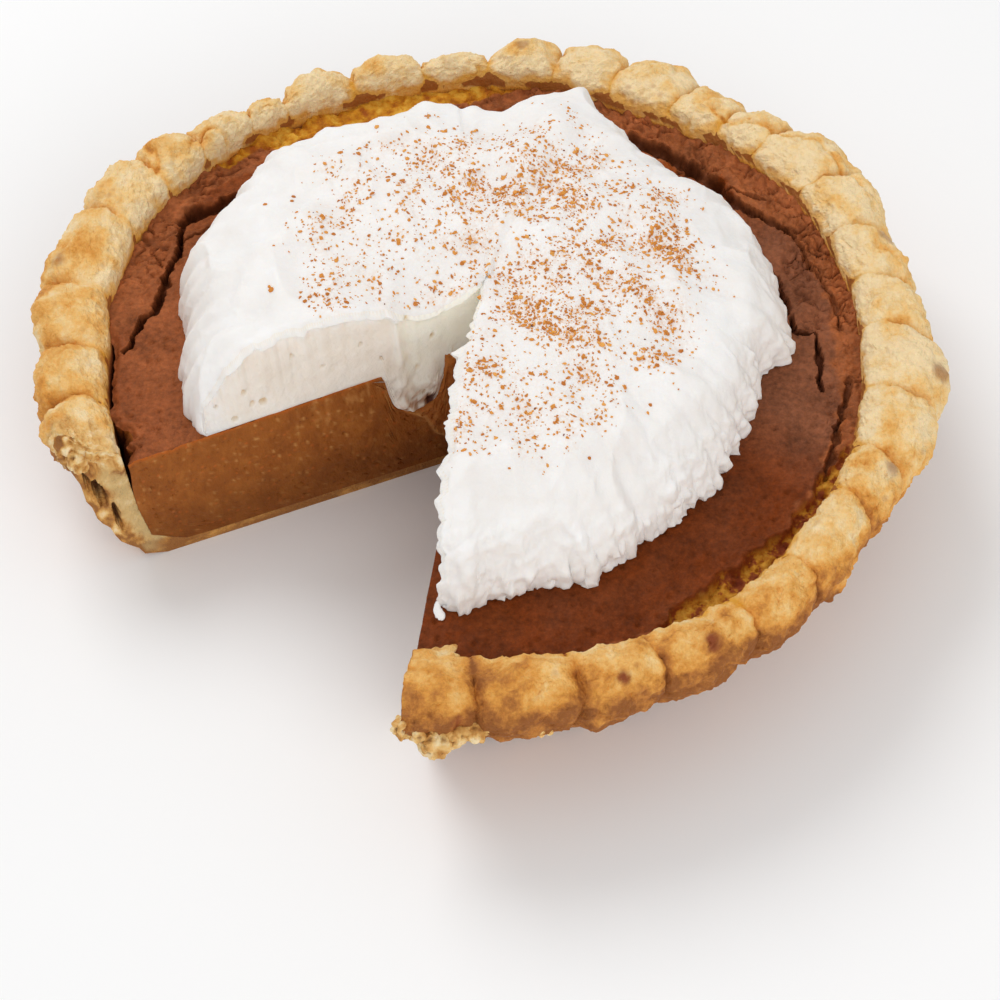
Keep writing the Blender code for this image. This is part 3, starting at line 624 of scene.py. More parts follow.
def crust_relief(grid, az, full, rim_angle):
    """How far the skin of the crust stands out along its normal: lumps, wrinkles, flaky ledges and blisters."""
    on_rim = ~np.isnan(rim_angle)
    angle = np.nan_to_num(rim_angle, nan=-90.0)
    height = grid[..., 2]
    lumps = 1.25 * noise(grid, 15.0, 3) + noise(grid, 7.0, 4)
    knobs = 1.9 * (ridge(grid, 8.0, 6) - 0.3) + ridge(grid, 3.8, 7) - 0.3
    pinch = np.exp(-(full / 0.24) ** 2) * between(angle, -40, -5, 95, 125)
    pinch = pinch * np.clip(0.8 + 1.1 * noise(grid, 9.0, 16), 0.1, 1.6)
    slope = between(angle, 72, 110, 160, 178)
    arc = np.radians(az) * RIM_RADIUS
    ridges = 1.3 * (0.35 - ridge(stack(arc / 6.5, angle / 75.0, 0 * height), 1.0, 14))
    fibres = stack(arc / 1.7, angle / 30.0, 0 * height)
    hairs = 0.3 * noise(fibres, 1.0, 8) + 0.2 * noise(fibres * (2.3, 1.4, 1), 1.0, 10)
    terrace = 2.6 * layers(grid, 11.0, 9, 4)
    flakes = 0.6 * (np.floor(terrace) + smooth(terrace - np.floor(terrace), 0.78, 1.0) - terrace + 0.4)
    ledge_height = height + 1.6 * layers(grid * (0.35, 0.35, 1.0), 5.0, 15)
    ledges = 0.9 * (np.mod(ledge_height / 3.1, 1.0) ** 2 - 0.33) * fall(angle, -25, 10)
    rim = (lumps + knobs) * (0.35 + 0.65 * full) * (1 - 0.5 * slope) + (ridges + hairs) * slope
    rim = rim + 0.4 * layers(grid, 2.4, 5, 4) + ledges + flakes * (0.5 + 0.5 * full) - around(PINCH_DEPTH, az) * pinch
    on_wall = (plan_radius(grid) > WALL_FOOT[0]) & (height > WALL_FOOT[1])
    wall = np.where(on_wall, 0.5 * layers(grid, 5.0, 21) + ledges, 0.0)
    relief = np.where(on_rim, rim * (1 - 0.5 * smooth(angle, 140, 168)), wall)
    return np.where(inner_side(rim_angle), 0.0, relief)


def inner_side(rim_angle):
    return np.arange(len(rim_angle)) > np.nonzero(~np.isnan(rim_angle))[0][-1]


def crust_sheet():
    az, full, lobe = lobe_columns()
    radius, height, turn, rim_angle = crust_form(az, full, lobe)
    from_near = np.radians(PIE_END - az) * radius
    from_far = np.radians(az - FAR_CUT) * radius
    back = BREAK_BACK * smooth(radius, 105.0, 116.0) * smooth(height, 26.0, 42.0)
    back = back * np.clip(1 - from_near / BREAK_LENGTH, 0, 1)
    ragged = layers(placed(0 * turn, radius, height), 5.0, 31)
    high = smooth(height, 6.0, 30.0)
    back = back + 1.5 * (0.5 + ragged) * high * np.exp(-from_near / 3.0)
    back_far = 0.5 * (0.3 + ragged[::-1]) * high * np.exp(-from_far / 3.0)
    grid = placed(turn + np.degrees((back_far - back) / np.maximum(radius, 20.0)), radius, height)
    normals = grid_normals(grid, np.nonzero(rim_angle > 60)[0][0])
    crumbled = fall(from_near + 3.0 * layers(grid, 6.0, 32), 8.0, 9.5) * smooth(height, 33.0, 40.0)
    crumbled = crumbled * smooth(radius, 102.0, 105.0)
    crumbs = 2.0 * ridge(grid, 5.0, 33) + 1.2 * ridge(grid, 2.2, 34) - 1.9
    folds = fold_share(grid)
    relief = crust_relief(grid, az, full, rim_angle) - folds
    grid = grid + normals * (relief * (1 - 0.6 * crumbled) + crumbs * crumbled)[..., None]
    grid[..., 2] = np.maximum(grid[..., 2], 0.0)
    return grid, az, full, rim_angle, lobe, crumbled, folds


def fold_share(grid):
    """Where the folds of the pinched pastry run across the top of the rim, from 0 to 1."""
    bent = grid + 0.5 * stack(noise(grid, 4.0, 17), noise(grid, 4.0, 18), 0)
    share = np.max([np.exp(-(path_distance(bent, path) / width) ** 2) for path, width in FOLD_PATHS], axis=0)
    return share * smooth(grid[..., 2], 41.0, 45.0)


def hollow_depth(face, az, hollows):
    along, height = flat_place(face, az)
    sunk = 0 * along
    for distance, middle, length, width, depth, tilt in hollows:
        turn = math.radians(tilt)
        across = (along - distance) * math.cos(turn) + (height - middle) * math.sin(turn)
        aside = -(along - distance) * math.sin(turn) + (height - middle) * math.cos(turn)
        edge = (across * 2 / length) ** 2 + (aside * 2 / width) ** 2 + 0.6 * noise(face, 1.8, 53)
        sunk = sunk + 0.8 * depth * smooth(1 - edge, 0.0, 0.8)
    return sunk


def torn_relief(face, az, hollows):
    """Relief of the crust where it was cut: flat at the far cut, torn and hollow at the near one."""
    if not hollows:
        return 0.25 * noise(face, 3.0, 58)
    along, height = flat_place(face, az)
    high = smooth(height, 30, 38)
    crumb = (2.0 * (ridge(face, 5.0, 51) - 0.2) + 1.3 * ridge(face, 2.3, 55)) * high
    sheets = 0.5 * noise(stack(along - height * 0.35, height * 0.2, 0), 1.9, 52)
    sheets = sheets * (1 - 0.6 * high) * smooth(along, 92, 100)
    return crumb + sheets - hollow_depth(face, az, hollows) + 0.15 * layers(face, 2.0, 54, 2)


def torn_colours(face, cut, outward_share):
    """Browning of the crust's cut face, with painted shade on its base layer, and where its pale inner layer shows,
    from 0 to 1.
    """
    along, height = flat_place(face, cut)
    mottle = layers(face, 4.0, 56)
    skin = smooth(outward_share + 0.15 * mottle, 0.78, 0.95)
    brown = 0.52 + 0.6 * mottle + 0.4 * skin - 0.18 * smooth(height, 36, 42)
    # The base layer at the bottom is painted darker, as shade.
    low = fall(height + 0.8 * mottle, 5.5, 8.0)
    brown = np.where(low > 0.5, 0.98 + 0.3 * mottle, brown)
    layer = fall(outward_share + 0.3 * mottle, 0.3, 0.75) * fall(height + 4 * mottle, 35, 42) * (1 - low)
    layer = layer + 0.6 * low * smooth(along, 93, 99) * (1 - skin)
    return brown, np.clip(layer * (0.85 + 0.5 * mottle), 0, 1)


def crust_colours(grid, az, full, angle, lobe):
    """Browning, with painted shade in the creases and under the rim, red-brown spots, yellow stain and custard glaze at
    every point of the crust's skin, from 0 to 1.
    """
    each_lobe = np.random.default_rng(LOBE_SEED + 1).uniform(-1, 1, LOBE_DRAWS)[lobe]
    height = grid[..., 2]
    patches = layers(grid, 11.0, 71)
    crests = 0.6 - 1.6 * ridge(grid, 8.0, 6)
    band = between(angle, -40, 0, 20, 60)
    # The creases between the lobes are painted darker, as shade in them.
    toast_and_crease_shade = 0.36 + 0.29 * patches + 0.1 * each_lobe + 0.12 * band + 0.24 * (1 - full) ** 2 - 0.12 * crests
    toast_and_crease_shade = toast_and_crease_shade + facing(az, 280.0, 0.5, 0.85) * (0.34 * fall(angle, -8, 62) + 0.12)
    # The rim's underside and the outer wall below it are darker: browning, with painted shade under the overhang.
    browning = toast_and_crease_shade + 0.42 * fall(angle, -50, -5) - 0.18 * smooth(angle, 105, 140) + around(CRUST_TONE, az)
    browning = np.where(angle < -80, 0.92 + 0.25 * patches, np.clip(browning, 0, 1))
    level = grid * (1, 1, 0)
    spots = 0
    for at, reach, size, strength in BURNT_SPOTS:
        away = np.linalg.norm(level - placed(at, reach, 0.0), axis=-1) / size + 0.35 * noise(grid, 2.4, 75)
        spots = np.maximum(spots, strength * fall(away, 0.35, 1.1) * smooth(angle, 0, 10))
    edge = around(GLAZE_HEIGHT, az) + 1.5 * layers(level, 5.0, 77) + 0.9 * noise(level, 1.9, 80) + 2.4 * (0.55 - full)
    inner = smooth(angle, 92, 118)
    glaze = fall(height, edge - 0.5, edge + 0.5) * around(GLAZE_AMOUNT, az)
    islands = smooth(layers(grid, 3.4, 78, 2), 0.12, 0.4) * fall(height, edge + 0.4, edge + 2.2)
    glaze = inner * np.maximum(glaze, 0.75 * islands * facing(az, 310.0, 0.8, 0.92))
    reach = around(STAIN_REACH, az) * (1 + 0.6 * noise(grid, 6.0, 79))
    stain = inner * fall(height, edge + 0.4 * reach, edge + 1.2 * reach) * around(STAIN_AMOUNT, az)
    return {"browning": browning, "spots": spots, "stain": np.clip(stain, 0, 1), "glaze": glaze}


def torn_flake(az, radius, height, length, width, thickness, turn):
    """A crumbly bit of pastry: points and triangles of a rounded block with a rough surface, and where its pits are."""
    points, triangles = ball_of(FLAKE_SUBDIVISIONS)
    points /= (np.sum(np.abs(points) ** 3.0, axis=1) ** (1 / 3.0))[:, None] * 2
    points = points * (length, width, thickness)
    offset = points + np.array([az * 7.0, radius, height])
    pits = np.clip(0.36 - cell_distance(offset, 2.6, 83), 0, None)
    rough = 2.3 * (ridge(offset, 4.4, 81) - 0.3) + 1.3 * (ridge(offset, 2.1, 82) - 0.3) - 3.0 * pits
    points = points * (1 + rough / np.maximum(np.linalg.norm(points, axis=1), 2.0))[:, None]
    lie = Matrix.Rotation(math.radians(az + turn), 3, "Z") @ Matrix.Rotation(math.radians(-14), 3, "Y")
    return points @ np.array(lie).T + placed(az, radius, height), triangles, smooth(pits, 0.03, 0.2)


def make_crust(materials):
    shape = Shape()
    grid, az, full, rim_angle, lobe, crumbled, folds = crust_sheet()
    colours = crust_colours(grid, az, full, np.nan_to_num(rim_angle, nan=-90.0), lobe)
    # The folds are painted darker along their grooves, as shade in them.
    colours["browning"] = colours["browning"] + 0.28 * folds
    # Along the gap where the filling has shrunk away, the crust's inner wall is painted dark with the burnt colour, as
    # shade in the gap.
    colours["spots"] = np.maximum(colours["spots"], inner_side(rim_angle) * gap_share(az))
    shape.add_grid(grid, 0, torn=crumbled, **colours)
    turning = (grid.shape[1] - 1) // 2
    outer, inner = grid[:, :turning + 1], grid[:, ::-1][:, :turning + 1]
    for column, cut, side, hollows in ((-1, NEAR_CUT, 1, LAYER_HOLLOWS), (0, FAR_CUT, -1, ())):
        face, from_skin, from_inside, fade = cut_face(refined(outer[column], 3), refined(inner[column], 3),
                                                      CRUST_CUT_ROWS, 0.7)
        face = pushed(face, torn_relief(face, cut, hollows) * fade, cut, side)
        brown, layer = torn_colours(face, cut, from_inside / np.maximum(from_inside + from_skin, 0.1))
        # The hollows between the layers are painted dark, as shade in them.
        shape.add_grid(face, 1, browning=brown, layer=layer, deep=smooth(hollow_depth(face, cut, hollows), 0.5, 2.2))
    for flake in TORN_FLAKES:
        points, triangles, pits = torn_flake(*flake)
        # The pits of each flake are painted dark, as shade in them.
        shape.add(points, triangles, 1, browning=0.34 + 0.5 * layers(points, 3.0, 61), deep=0.75 * pits)
    return shape.make("pie_crust", materials, 50.0)


def crown(radius):
    """Height of the filling's smooth top."""
    return FILLING_EDGE + FILLING_RISE * (1 - radius / FILLING_SPAN)


def across_near_cut(az, radius):
    """Distance from the near cut, up to a quarter turn away from it."""
    return radius * np.sin(np.radians(np.clip(PIE_END - az, 0, 90)))


def filling_top(az, radius):
    """Height of the filling's top where it isn't cracked, with its broken tip."""
    far = ((radius - BITE_RADIUS) / BITE_LENGTH) ** 2 + (across_near_cut(az, radius) / BITE_WIDTH) ** 2
    far = far + 0.22 * layers(placed(az, radius, 30.0), 4.0, 35, 2) * smooth(far, 0.0, 0.5) * smooth(2 - far, 0.0, 0.6)
    return crown(radius) - BITE_DEPTH * np.clip(1 - far, 0, None) ** 0.6


def filling_relief(az, radius, reach):
    """Height changes of the filling's top, the share of it painted dark as shade in its cracks and splits, and the
    share that is sunken edge.
    """
    place = placed(az, radius, FILLING_LEVEL)
    jag = stack(*(0.9 * noise(place, 4.0, broad) + 0.5 * noise(place, 1.7, fine)
                  for broad, fine in ((91, 92), (93, 90))))
    lowered = crack = 0
    uneven = 0.75 + 0.5 * noise(place, 7.0, 89)
    width_share = 1 + 0.55 * noise(place, 6.0, 97)
    for path, width, depth in CRACK_PATHS:
        away = path_distance(place[..., :2] + jag, path) / (width * width_share)
        lowered = np.maximum(lowered, depth * uneven * fall(away, 0.5, 1.25) - 0.3 * np.exp(-((away - 2.0) / 0.9) ** 2))
        crack = np.maximum(crack, fall(away, 0.8, 1.3) * min(depth / 3.0, 1.0) * np.clip(uneven + 0.35, 0, 1))
    rough = around(RING_ROUGH, az) * (0.12 + 0.88 * smooth(radius - around(RING_PATH, az), 0.3, 2.5))
    rough = rough * smooth(radius, 70, 86)
    crooked = place + np.concatenate([jag, jag[..., :1]], axis=-1)
    cobble = 1.2 * (0.6 - cell_distance(crooked, 5.6, 94)) + 0.8 * (0.55 - cell_distance(crooked, 2.7, 95))
    cobble = cobble + 0.7 * noise(place, 7.0, 88)
    split = np.maximum(np.clip(1 - ridge(crooked, 6.0, 85) / 0.16, 0, 1),
                       0.6 * np.clip(1 - ridge(crooked, 3.0, 84) / 0.2, 0, 1))
    split = split * np.clip(0.6 + 1.2 * noise(place, 10.0, 83), 0, 1) * smooth(rough, 0.4, 1.4)
    edge_path = around(EDGE_PATH, az) + 1.2 * layers(place, 6.0, 96)
    drop = around(EDGE_DROP, az)
    sunken = smooth(drop, 0.2, 1.2)
    beyond = smooth(radius - edge_path, -0.3, 0.9) * sunken
    lip = 0.5 * np.exp(-((radius - edge_path + 0.8) / 0.8) ** 2) * sunken
    fine = 0.34 * layers(place, 14.0, 98, 2) + 0.26 * layers(place, 3.0, 100)
    pits = -0.9 * np.clip(0.3 - cell_distance(place, 3.6, 99), 0, None) / 0.3
    wave = (0.8 * noise(place, 8.0, 106) + 0.6 * layers(place, 3.4, 107, 2) + 0.2) * smooth(radius - reach, -3.0, 0.5)
    residue = beyond * (1.1 * ridge(place, 3.6, 108) + 0.8 * ridge(place, 1.9, 109) - drop)
    shrunk = -1.5 * smooth(radius, reach - 2.6, reach) ** 2 * gap_share(az)
    height = shrunk - lowered + rough * cobble - 1.5 * split + lip + residue + fine + pits + wave * (1 - beyond)
    return height, np.maximum(crack, 0.55 * split), beyond


def gap_share(az):
    """1 where the filling has shrunk from the crust, near the left end of the rim, and 0 elsewhere."""
    return smooth(around(GAP_WIDTH, az), 0.1, 0.8)


def filling_overlap(az):
    """How far the edge of the filling's top reaches into the crust, which hides its end."""
    return FILLING_OVERLAP * (1 - gap_share(az)) * smooth(az, FAR_CUT + 0.3, FAR_CUT + 3.0)


def filling_sheet(az, shares):
    reach = wall_radius(az, np.array([FILLING_EDGE]), GAP)
    radius = shares * (reach + filling_overlap(az))
    relief, crack, beyond = filling_relief(az, radius, reach)
    return radius, filling_top(az, radius) + relief, crack, beyond


def left_gap(az, radius, height):
    """How far the filling has shrunk from the crust near the left end of the rim."""
    place = placed(az, 100.0 + 0 * radius, height * 0.5)
    ragged = 1 + 0.7 * noise(place, 5.0, 87) + 0.4 * noise(place, 2.2, 86)
    wide = around(GAP_WIDTH, az) * np.clip(ragged, 0.1, None)
    return wide * smooth(height, 27.0, 38.0) * smooth(radius, 86.0, 100.0)


def above_lump_edge(along, height):
    return height - np.interp(along, *np.array(LUMP_EDGE).T)


def lump_share(along, height):
    """Where the cut custard is the rough lump at the tip."""
    return smooth(above_lump_edge(along, height), -0.3, 1.6) * fall(along, 24, 27)


def custard_relief(face, az):
    """Relief of the custard where it was cut: knife drags, pores, and the broken lump near the tip."""
    along, height = flat_place(face, az)
    drag = noise(stack(along / 0.9, height / 7.0, 0), 1.0, 101)
    dragged = between(along, 20, 34, 50, 70) * smooth(height, 16, 34)
    pores = np.clip(0.26 - cell_distance(face, 2.4, 103), 0, None) * 3.4
    uneven = 0.35 * layers(face, 9.0, 104, 2) + 0.12 * layers(face, 1.9, 105, 2)
    crumbs = 0.6 + 1.8 * ridge(face, 6.0, 112) + ridge(face, 2.8, 113)
    return 0.1 * drag + 0.35 * np.abs(drag) * dragged - pores + uneven + lump_share(along, height) * crumbs


def pale_custard(face, az):
    """Where the cut custard is paler: dragged flecks and the crumbly lower edge of its lump."""
    along, height = flat_place(face, az)
    flecks = np.clip(0.26 - cell_distance(face * (1, 1, 0.7), 2.3, 114), 0, None) * 6
    edge = np.exp(-((above_lump_edge(along, height) - 1.2) / 1.4) ** 2) * fall(along, 20, 24)
    more = 0.75 + 0.7 * between(along, 24, 34, 52, 75) * smooth(height, 18, 34)
    drags = smooth(noise(stack(along / 1.3, height / 6.0, 0), 1.0, 115), 0.15, 0.5)
    drags = drags * between(along, 22, 30, 44, 60) * smooth(height, 22, 36)
    return np.clip(flecks * more + 0.8 * edge + 0.55 * drags, 0, 1)


def custard_colours(az, radius):
    """Where the filling's top takes the painted shade of the front, the deeper orange of the back, the painted sheen of
    the right, the outer band and the stained edge, from 0 to 1.
    """
    place = placed(az, radius, FILLING_LEVEL)
    inwards = radius - around(FILLING_REACH, az)
    uneven = 0.2 * layers(place, 18.0, 111, 2)
    band = around(BAND_WIDTH, az) * (1 + 0.4 * noise(place, 9.0, 118))
    edge = around(EDGE_STAIN, az) * (1 + 0.35 * noise(place, 7.0, 116))
    colours = {name: np.clip(facing(az, heading, low, high) + uneven, 0, 1)
               for name, heading, low, high in CUSTARD_SHADE_AND_SHEEN_PLACES}
    colours["band"] = smooth(inwards + band + 1.8 * layers(place, 4.0, 119, 2), -0.8, 1.2) * smooth(band, 0.5, 2.0)
    colours["stained"] = smooth(inwards + edge + 1.2 * noise(place, 2.4, 117), -0.4, 0.6) * smooth(edge, 0.3, 1.0)
    return colours


def make_filling(materials):
    shape = Shape()
    az = np.linspace(FAR_CUT, PIE_END, FILLING_COLUMNS)[:, None]
    radius, height, crack, beyond = filling_sheet(az, spread(*FILLING_ROWS))
    shape.add_grid(placed(az, radius - left_gap(az, radius, height), height), 0, crack=crack, groove=beyond,
                   **custard_colours(az, radius))
    steps = np.linspace(0, 1, 9)
    lowest = BASE_TOP + GAP
    side_height = lowest + steps * (height[:, -1:] - lowest)
    side_radius = wall_radius(az, side_height, GAP) + steps ** 3 * filling_overlap(az)
    side_gap = left_gap(az, side_radius, side_height)
    # The filling's side wall is painted dark where it has shrunk from the crust, as shade in the gap.
    shape.add_grid(placed(az, side_radius - side_gap, side_height), 1, deep=0.9 * gap_share(az))
    shape.add_grid(placed(az, np.array([0.0, 0.5, 1.0]) * side_radius[:, :1], lowest), 1)

    fine = spread(*FILLING_CUT_COLUMNS)
    for cut, side, end in ((PIE_END, 1, NEAR_CUT), (FAR_CUT, -1, FAR_CUT)):
        at = np.array([[cut]])
        top = filling_sheet(at, fine)[1].T
        share = np.linspace(0, 1, FILLING_CUT_ROWS)
        face_height = lowest + share * (top - lowest)
        face_radius = fine[:, None] * wall_radius(at, face_height[-1:], GAP)
        face_radius = face_radius - left_gap(at, face_radius, face_height)
        face = placed(cut, face_radius, face_height)
        fade = between(share, 0.0, 0.03, 0.97, 1.0) * fall(fine[:, None], 0.99, 1.0)
        relief = np.minimum(custard_relief(face, end) * fade, np.inf if side > 0 else FAR_RELIEF)
        shape.add_grid(pushed(face, relief, end, side), 1, pale=pale_custard(face, end),
                       low=fall(face_height, 8.0, 26.0), lump=lump_share(*flat_place(face, end)),
                       edge=np.exp(-((top - face_height) / 0.9) ** 2))
    return shape.make("pie_filling", materials, 45.0)


def cream_surface(az, angle):
    """Radius and height of the cream's smooth outer form, where the angle runs from 0 at its foot to 90 on top."""
    reach = around(CREAM_REACH, az) + 0.9 * np.sin(az * 0.9) * np.sin(az * 0.31)
    radius = reach * np.cos(np.radians(angle)) ** (2 / around(CREAM_SHOULDER, az))
    swirl = sum(depth * np.sin(radius * np.cos(np.radians(az - heading)) / length * 2 * math.pi + phase)
                for depth, heading, length, phase in SWIRLS)
    swirl = swirl * np.clip(radius / SWIRL_CALM, 0, 1) ** 2
    from_sag = (radius - CREAM_SAG_RADIUS) ** 2 + across_near_cut(az, radius) ** 2
    sag = CREAM_SAG * np.exp(-from_sag / CREAM_SAG_SPAN ** 2)
    dip = CENTRE_DIP * np.exp(-(radius / CENTRE_DIP_SPAN) ** 2)
    middle = around(CREAM_THICKNESS, NEAR_CUT)
    thickness = middle + (around(CREAM_THICKNESS, az) - middle) * smooth(radius, 0, 24)
    return radius, crown(radius) + GAP + (thickness + swirl - sag - dip) * np.sin(np.radians(angle))


def cream_relief(grid, az, angle):
    """How far the cream stands out along its normal: spatula strokes, folds on the front and lumps at its foot."""
    broad = noise(grid, 30.0, 121) + 0.6 * noise(grid, 14.0, 122)
    squat = grid * (1, 1, 0.5)
    crest = np.clip(1 - 2.6 * ridge(squat, 21.0, 123), 0, None) ** 2
    ripple = np.clip(1 - 3.2 * ridge(squat, 11.0, 129), 0, None) ** 2
    strokes = sum(lift * np.exp(-(path_distance(grid, path) / width) ** 2) for path, width, lift in STROKES)
    strokes = strokes * (1 + 0.4 * noise(grid, 9.0, 124))
    folds = 0.6 - 2 * ridge(stack(np.radians(az) * CREAM_RADIUS / 9.5, angle / 60.0, 0), 1.0, 125)
    folds = 0.35 * folds * facing(az, 290.0, 0.72, 0.95) * between(angle, 4, 16, 44, 66)
    rough = around(CREAM_ROUGH, az)
    uneven = np.clip(0.6 + 0.9 * noise(grid, 13.0, 120), 0, 1.3)
    bubbly = np.clip(rough * fall(angle, 18, 58) * uneven, 0, 1)
    bubbles = 0.6 - cell_distance(grid, 3.0, 126)
    lumps = 1.3 * ridge(grid, 5.0, 127) + ridge(grid, 2.4, 130) - 0.4
    lumps = lumps * np.clip(bubbly + 0.35 * fall(angle, 12, 46) * rough, 0, 1)
    fine = (0.05 + 0.3 * bubbly) * layers(grid, 1.9, 128, 2)
    calm = smooth(plan_radius(grid), 4, 30)
    return calm * (broad + crest + 0.35 * ripple + strokes) + folds + 0.35 * bubbles * bubbly + lumps + fine


def ragged_foot(az, angle):
    """How far the cream's foot reaches further out or in, mostly in small torn lobes."""
    turn = np.radians(az)
    place = stack(CREAM_RADIUS * np.cos(turn), CREAM_RADIUS * np.sin(turn), angle / 10.0)
    lobes = 1.3 * noise(place, 8.0, 131) + 0.9 * noise(place, 3.6, 132)
    torn = 1.0 - 1.8 * cell_distance(place, 2.6, 133) + noise(place, 1.5, 134)
    rough = around(CREAM_ROUGH, az)
    spikes = sum(length * np.exp(-np.abs((az - pie_angle(at)) / width) ** 1.4) for at, width, length in SPIKES)
    return (lobes * (0.4 + 0.7 * rough) + torn * (0.3 + 0.9 * rough) + spikes) * fall(angle, 2, 24)


def even_angles(rows):
    """Angles from 0 to 90 that space the rows of the cream evenly along its section."""
    angle = np.linspace(0, 90, FINE_ANGLES)
    along = along_polyline(np.stack([CREAM_RADIUS * np.cos(np.radians(angle)) ** (2 / CREAM_POWER),
                                     CREAM_HEIGHT * np.sin(np.radians(angle))], axis=1))
    return np.interp(np.linspace(0, along[-1], rows), along, angle)


def cut_cream_relief(face, az, from_top):
    """Relief of the cream where it was cut: its lip, pores, and a torn slump over the broken tip of the filling."""
    along, height = flat_place(face, az)
    uneven = 0.45 * layers(face, 8.0, 141, 2) + 0.1 * layers(face, 2.2, 142, 2)
    lip_place = stack(along, 0, 0)
    lip_width = 2.2 + 1.6 * noise(lip_place, 7.0, 143) + 0.6 * noise(lip_place, 2.6, 144)
    lip = 1.3 * fall(from_top, 0.5 * lip_width, 1.2 * lip_width)
    fold = 1.2 * np.exp(-(along - 22.6 - 0.08 * (height - 55)) ** 2) * smooth(height, 44, 50)
    torn = fall(height, 36, 48) * fall(along, 27, 30)
    torn = torn * (0.6 + 2.4 * ridge(face, 6.0, 145) + 1.2 * ridge(face, 2.8, 146))
    pores = sum(1.2 * fall(np.hypot(along - distance, height - middle) / size, 0.4, 1.0)
                for distance, middle, size, _ in CREAM_PORES)
    return 0.8 + uneven + lip + fold + torn - pores - fall(along, 20, 23) - 1.2 * smooth(along, 66, 80)


def cut_cream_colours(face, az, from_top, near):
    """Where the cream's cut face is white, painted lighter near the tip, and on the near cut porous, smeared or painted
    dark as shade in its pocket, from 0 to 1.
    """
    along, height = flat_place(face, az)
    mottle = 2.2 * layers(face, 6.0, 147, 2)
    white = np.maximum(fall(from_top + mottle, 1.5, 5.0), smooth(along + 1.5 * mottle, 66, 77))
    # Near the tip the cut face is painted lighter, as painted light.
    colours = {"white": np.clip(white, 0, 1), "tip": fall(along, 18, 26)}
    if near:
        colours["stain"] = np.max([depth * fall(np.hypot(along - distance, height - middle) / size, 0.3, 1.0)
                                   for distance, middle, size, depth in CREAM_PORES], axis=0)
        colours["smear"] = 0.9 * smooth(layers(face, 2.2, 148, 2) + 0.25, 0.0, 0.5) * fall(height, 30, 40)
        colours["smear"] *= fall(along, 23, 26)
        # The pocket is painted dark, as shade in it.
        distance, middle, length, width = POCKET
        from_pocket = np.hypot((along - distance) / length, (height - middle) / width)
        colours["pocket"] = fall(from_pocket + 0.4 * noise(face, 1.6, 149), 0.7, 1.1)
    return colours


def make_cream(materials):
    shape = Shape()
    az = np.linspace(CREAM_FAR_CUT, PIE_END, CREAM_COLUMNS)[:, None]
    angle = even_angles(CREAM_ROWS)
    radius, height = cream_surface(az, angle)
    radius = radius + ragged_foot(az, angle)
    grid = placed(az, radius, height)
    normals = grid_normals(grid, -20)
    from_near = radius * np.radians(PIE_END - az)
    from_far = radius * np.radians(az - CREAM_FAR_CUT)
    worn = (0.9 + 0.5 * noise(grid, 4.0, 135)) * smooth(radius, 0.5, 5.0)
    relief = cream_relief(grid, az, angle) - worn * (np.exp(-from_near / 1.1) + np.exp(-from_far / 1.1))
    for column, cut in ((0, CREAM_FAR_CUT), (-1, NEAR_CUT)):
        across = cut_outward(cut, 1)
        normals[column] -= (normals[column] @ across)[:, None] * across
    grid = grid + relief[..., None] * normals
    ragged = (0.9 * noise(grid, 5.5, 136) + 0.9 * layers(grid, 2.6, 137, 2) - 0.2) * smooth(radius, 2.0, 14.0)
    grid = pushed(grid, 1.3 * ragged * np.exp(-from_far / 2.5), CREAM_FAR_CUT, -1)
    grid = pushed(grid, 0.6 * ragged * np.exp(-from_near / 2.5), NEAR_CUT, 1)
    grid[..., 2] = np.maximum(grid[..., 2], filling_top(az, radius) + 0.1)
    grid[:, -1] = placed(0.0, 0.0, float(np.mean(grid[:, -1, 2])))
    foot = radius * (1 - CREAM_UNDERCUT / radius[:, :1])
    floor = placed(az, foot, filling_top(az, foot) + 0.05)
    for sheet, distance in ((grid, radius), (floor, foot)):
        sheet += np.exp(-(distance / CREAM_TIP_SPAN) ** 2)[..., None] * np.array(CREAM_TIP_SHIFT)
    shape.add_grid(grid, 0, dust=np.clip(dusting(grid), 0, 1) * (0.2 + 0.8 * powder(grid)))
    for dab in CREAM_DABS:
        shape.add(*cream_dab(*dab), 0)
    shape.add_grid(floor[:, np.append(np.arange(0, CREAM_ROWS, 8), CREAM_ROWS - 1)], 1)
    shape.add_grid(np.stack([grid[:, 0], floor[:, 0]], axis=1), 0)
    for column, cut, side in ((-1, NEAR_CUT, 1), (0, CREAM_FAR_CUT, -1)):
        face, _, from_top, fade = cut_face(refined(floor[column], 2), refined(grid[column], 2), CREAM_CUT_ROWS, 1.2)
        face = pushed(face, cut_cream_relief(face, cut, from_top) * fade, cut, side)
        shape.add_grid(face, 1, **cut_cream_colours(face, cut, from_top, side > 0))
    return shape.make("pie_cream", materials, 60.0)


def cream_dab(az, radius, length, width, thickness, turn):
    """A thin ragged smear of cream on the filling: points and triangles."""
    points, triangles = ball_of(4)
    heading = points[:, :2] / np.maximum(np.linalg.norm(points[:, :2], axis=1), 0.02)[:, None]
    place = stack(heading[:, 0], heading[:, 1], az + radius)
    ragged = 1 + 0.6 * noise(place, 1.1, 171) + 0.15 * noise(place, 0.5, 172)
    points = points * (length, width, thickness)
    points[:, :2] *= ragged[:, None]
    points[:, 2] += 0.25 * noise(points, 1.2, 173)
    lie = Matrix.Rotation(math.radians(az + turn), 3, "Z")
    return points @ np.array(lie).T + placed(az, radius, float(filling_top(az, radius)) + 0.3), triangles


